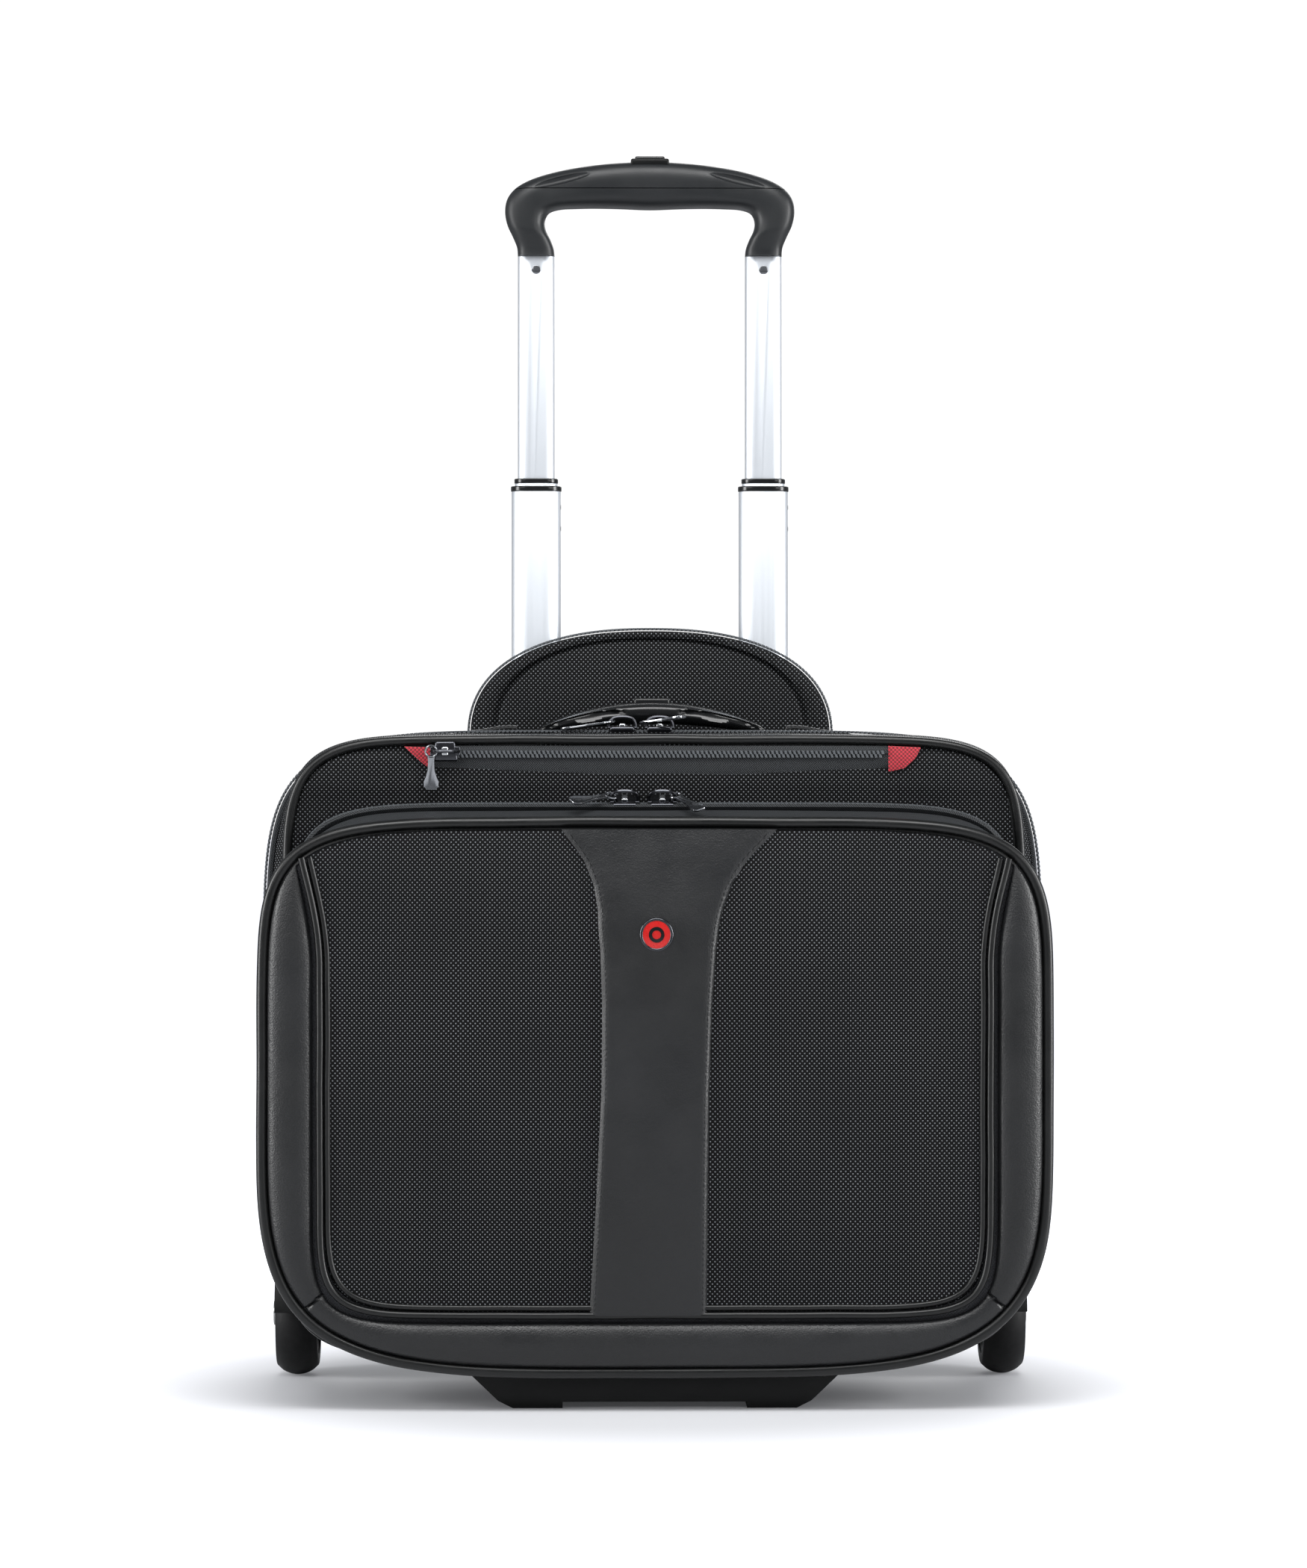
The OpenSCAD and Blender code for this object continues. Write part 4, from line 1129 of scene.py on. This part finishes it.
def trolley_grip():
    rows = []
    for a, b, c, d in grip_sections():
        inner, outer = Vector((a, TUBE_Y, b)), Vector((c, TUBE_Y, d))
        middle, reach_out = (inner + outer) / 2, (outer - inner) / 2
        deep = 12.5 if d > 660 else 12.5 - 3.2 * smooth_step((660 - d) / 16)
        turns = [2 * math.pi * i / 56 for i in range(56)]
        rows.append([middle + reach_out * bow(math.cos(t), 2.9) + Vector((0, deep * bow(math.sin(t), 2.9), 0))
            for t in turns])
    whole = skin("grip", rows, True, False)
    halves = {}
    for name, level, upper in (("grip_shell_lower", 680.75, False), ("grip_shell_upper", 681.2, True)):
        half = copy_to(whole, name, Matrix.Identity(4))
        work = bmesh.new()
        work.from_mesh(half.data)
        whole_mesh = work.verts[:] + work.edges[:] + work.faces[:]
        found = bmesh.ops.bisect_plane(work, geom=whole_mesh, plane_co=(0, 0, level * MM), plane_no=(0, 0, 1),
            clear_outer=not upper, clear_inner=upper)
        rim = [e for e in found["geom_cut"] if isinstance(e, bmesh.types.BMEdge)]
        bmesh.ops.holes_fill(work, edges=rim, sides=0)
        work.to_mesh(half.data)
        work.free()
        halves[name] = outwards(half)
    bpy.data.objects.remove(whole)
    lower, upper = halves["grip_shell_lower"], halves["grip_shell_upper"]
    cut(lower, block("a", (-70, TUBE_Y - 3, 672.5), (70, TUBE_Y + 5, 684)),
        block("b", (-9, TUBE_Y - 7.5, 675.5), (9, TUBE_Y + 7.5, 684)),
        rod("c", 1.9, 60, (TUBE_X, TUBE_Y + 1.5, 645)), rod("d", 1.9, 60, (-TUBE_X, TUBE_Y + 1.5, 645)))
    cut(upper, block("e", (-9, TUBE_Y - 7.5, 679), (9, TUBE_Y + 7.5, 720)))
    lenses = []
    for side in (-1, 1):
        for face in (-1, 1):
            bpy.ops.object.select_all(action="DESELECT")
            bpy.ops.mesh.primitive_uv_sphere_add(segments=48, ring_count=24, radius=MM,
                location=(side * 50 * MM, (TUBE_Y + face * 13.6) * MM, 686.2 * MM),
                rotation=(0, math.radians(side * 14), 0), scale=(20, 3.8, 3.0))
            lenses.append(settle(bpy.context.object))
    cut(upper, join("lenses", *lenses))
    dress(lower, "stage_inner", "gloss_black", SOFT_TOUCH, stands_for=["grip_lower"], smooth=45)
    dress(upper, "stage_inner", "gloss_black", SOFT_TOUCH, stands_for=["grip_upper"], smooth=45)
    collar = cut(block("button_collar", (-11, TUBE_Y - 9, 694.5), (11, TUBE_Y + 9, 698.5), 1.2),
        block("hole", (-9, TUBE_Y - 7.5, 690), (9, TUBE_Y + 7.5, 705)))
    dress(collar, "stage_inner", "gloss_black", MATTE, smooth=35)
    button = block("button_cap", (-8.6, TUBE_Y - 7.1, 680.6), (8.6, TUBE_Y + 7.1, 700), 1.1)
    dress(button, "release_button", "gloss_black", GLOSS, stands_for=["release_button"], smooth=35)
    dress(soften("lock_rods", "push_rods", 0), "release_button", "steel", STEEL, stands_for=["push_rods"],
        smooth=30)
    screws = soften("grip_screw_heads", "grip_screws", 0.3)
    dress(screws, "stage_inner", "steel", SMOKED_NICKEL, stands_for=["grip_screws"], smooth=30)


def trolley_tubes():
    for stage, word in (("stage_outer", "outer"), ("stage_middle", "middle"), ("stage_inner", "inner")):
        tube = soften(word + "_tube_pair", word + "_tubes", 0.25, 2, 50)
        dress(tube, stage, "anodised_aluminium", ALUMINIUM, stands_for=[word + "_tubes"], smooth=35)
        plugs = soften(word + "_plug_pair", word + "_plugs", 0.4, 2, 50)
        dress(plugs, stage, "moulded_black", MATTE, stands_for=[word + "_plugs"], smooth=35)
        if word != "inner":
            rings = soften(word + "_collar_pair", word + "_collars", 0.5, 3, 50)
            dress(rings, stage, "moulded_black", GLOSS, stands_for=[word + "_collars"], smooth=35)


def lock_pins():
    """The small catches that lock the stages, which show as dark studs in the outer tubes' right faces."""
    pins = [rod("pin", 1.5, 1.0, (side * TUBE_X + 13.8, TUBE_Y, z), (0, 90, 0), 20) for side in (-1, 1)
        for z in (485.6, 498)]
    pins = modify(join("lock_pins", *pins), "BEVEL", width=0.2 * MM, segments=2, limit_method="ANGLE")
    dress(pins, "stage_outer", "moulded_black", MATTE)


# ---------------------------------------------------------------- zip sliders


def slider_body():
    """A die-cast slider: two flared wings on a waist, with a bright bridge and an arched bail."""
    wing = block("slider_wing", (-7, -5.5, 0.2), (7, 5.5, 3.4), 1.3)
    for v in wing.data.vertices:
        v.co.x *= 1 - 0.22 * smooth_step((v.co.y / MM + 5.5) / 11)
    arch = []
    for i in range(25):
        t = math.pi * i / 24
        arch.append((-7.55 * bow(math.cos(t), 2.6), 2.6 + 6.2 * bow(math.sin(t), 2.6)))
    bail = sweep("slider_bail", trace(arch, False), round_profile(0.9, 0, 0, 8))
    foot = block("slider_foot", (-8.2, -2.6, 2.2), (8.2, 2.6, 3.3), 0.5)
    post = block("slider_post", (-1.7, -2.4, 3), (1.7, 2.4, 5.0), 0.6)
    return join("slider_master", wing, foot, bail), post


def pull_body(length):
    """A stamped pull: an eye, a slim neck, and a blade that widens to a rounded end with a pressed panel."""
    edge = [(2.6, 2), (6, 1.7), (length * 0.5, 1.9), (length * 0.68, 3), (length - 4.4, 4.1),
        (length - 1.6, 3.9), (length, 2.4)]
    ring = spread([(x, w) for x, w in edge] + [(x, -w) for x, w in edge[::-1]], 72, True)
    blade = skin("blade", [[(x, w, z) for x, w in ring] for z in (-0.7, 0.7)], True, False)
    work = bmesh.new()
    work.from_mesh(blade.data)
    for cap in [f for f in work.faces if len(f.verts) > 8]:
        bmesh.ops.inset_region(work, faces=[cap], thickness=0.75 * MM, use_even_offset=True)
        for v in cap.verts:
            v.co.z -= math.copysign(0.3 * MM, v.co.z)
    work.to_mesh(blade.data)
    work.free()
    modify(blade, "BEVEL", width=0.2 * MM, segments=2, limit_method="ANGLE", angle_limit=math.radians(50))
    circle = closed([(3.1 * math.cos(math.radians(6 * i)), 3.1 * math.sin(math.radians(6 * i)))
        for i in range(60)], 40)
    eye = sweep("eye", circle, round_profile(0.6, 0, 0, 8), True)
    eye.data.transform(Matrix.Rotation(math.radians(90), 4, "X"))
    return join("pull_master", blade, eye)


def zip_hardware():
    body, post = slider_body()
    long_pull, short_pull = pull_body(27), pull_body(21)
    places = {
        "main_slider_left": ("main_pull_left", (-17, -20, 366.9), 0, -1, 190, -8, long_pull),
        "main_slider_right": ("main_pull_right", (3.6, -20, 366.9), 0, -1, -40, 6, long_pull),
        "pocket_slider_left": ("pocket_pull_left", (-16.3, -75, 327.4), 35, -1, 214, 14, long_pull),
        "pocket_slider_right": ("pocket_pull_right", (4.2, -75, 327.4), 35, 1, -60, 14, long_pull),
        "slot_slider": ("slot_pull", (-114, -72.6, 356.2), 90, -1, -90, -8, short_pull),
    }
    for slider, (pull, at, tilt, side, azimuth, lift, master) in places.items():
        put = Matrix.Translation([v * MM for v in at]) @ Matrix.Rotation(math.radians(tilt), 4, "X")
        dress(copy_to(body, slider + "_casting", put), slider, "gunmetal", GUNMETAL, stands_for=[slider],
            smooth=35)
        dress(copy_to(post, slider + "_bridge", put), slider, "gunmetal", NICKEL, smooth=35)
        hang = put @ Matrix.Translation((side * 7.55 * MM, 0, 5.8 * MM))
        hang = hang @ Matrix.Rotation(math.radians(azimuth), 4, "Z")
        hang = hang @ Matrix.Rotation(math.radians(-lift), 4, "Y")
        dress(copy_to(master, pull + "_blade", hang), pull, "gunmetal", SMOKED_NICKEL, stands_for=[pull],
            smooth=35)
    for master in (body, post, long_pull, short_pull):
        bpy.data.objects.remove(master)


# ---------------------------------------------------------------- studio


def softbox(name, at, aim, size, power):
    light = bpy.data.lights.new(name, "AREA")
    light.shape, light.size, light.size_y, light.energy = "RECTANGLE", size[0], size[1], power
    lamp = bpy.data.objects.new(name, light)
    bpy.context.scene.collection.objects.link(lamp)
    lamp.location = at
    lamp.rotation_euler = (Vector(aim) - Vector(at)).to_track_quat("-Z", "Y").to_euler()


def studio():
    bpy.ops.object.select_all(action="DESELECT")
    bpy.ops.mesh.primitive_plane_add(size=FLOOR_SIZE, location=(0, 0, 0))
    floor = bpy.context.object
    floor.name = "studio_floor"
    # A white sweep whose own glow grows with distance: painted light makes it pure white far off, and the
    # weak glow near the case leaves it painted darker there, around the case's soft shadows.
    # Only the eye sees the glow, so that it doesn't light the case from below.
    material, tree, shader = finish_of("white_sweep", "#c4c5c8", 0.6, Specular_IOR_Level=0.2)
    shader.inputs["Emission Color"].default_value = linear("#f6f7fd")
    place = add(tree, "TexCoord")
    away = add(tree, "VectorMath", {0: place.outputs["Object"]}, operation="LENGTH")
    glow = add(tree, "MapRange", {0: away.outputs["Value"], 1: GLOW_START, 2: GLOW_FULL, 3: 0.04, 4: 1.0},
        interpolation_type="SMOOTHSTEP")
    shown = add(tree, "Math", {0: glow, 1: add(tree, "LightPath").outputs["Is Camera Ray"]},
        operation="MULTIPLY")
    plug(tree, shown, shader, "Emission Strength")
    floor.data.materials.append(material)

    world = bpy.data.worlds.new("studio_world")
    bpy.context.scene.world = world
    world.use_nodes = True
    tree = world.node_tree
    seen = add(tree, "Background", {"Color": linear("#ffffff"), "Strength": 1.05})
    lit = add(tree, "Background", {"Color": linear("#eef2f7"), "Strength": 0.3})
    path = add(tree, "LightPath")
    mix = add(tree, "MixShader", {0: path.outputs["Is Camera Ray"], 1: lit, 2: seen})
    tree.links.new(mix.outputs[0], tree.nodes["World Output"].inputs[0])

    softbox("key_box", (-1.7, -2.3, 1.9), (0, 0, 0.3), (1.6, 1.6), 24)
    softbox("fill_box", (1.9, -2.2, 1.3), (0, 0, 0.3), (1.4, 1.6), 15)
    softbox("top_box", (0, -1.2, 2.2), (0, -0.1, 0.3), (1.8, 1.0), 46)
    softbox("side_left", (-2.0, -0.5, 0.6), (0, -0.05, 0.2), (0.7, 1.6), 40)
    softbox("side_right", (2.0, -0.5, 0.6), (0, -0.05, 0.2), (0.7, 1.6), 46)
    softbox("back_box", (0.4, 2.4, 1.5), (0, 0, 0.3), (1.6, 1.4), 18)

    lens = bpy.data.cameras.new("camera")
    lens.lens, lens.sensor_fit, lens.sensor_height = LENS, "VERTICAL", FILM_HEIGHT
    camera = bpy.data.objects.new("camera", lens)
    bpy.context.scene.collection.objects.link(camera)
    camera.location = CAMERA_AT
    camera.rotation_euler = (math.radians(90), 0, math.radians(CAMERA_TURN))
    bpy.context.scene.camera = camera
    bpy.context.scene.view_settings.view_transform = "Standard"


rear_body()
trolley_back()
undercarriage()
wheels()
main_lid()
front_field()
leather_frame()
front_strip()
badge()
pocket_edges()
carry_handle()
trolley_grip()
trolley_tubes()
lock_pins()
zip_hardware()
studio()
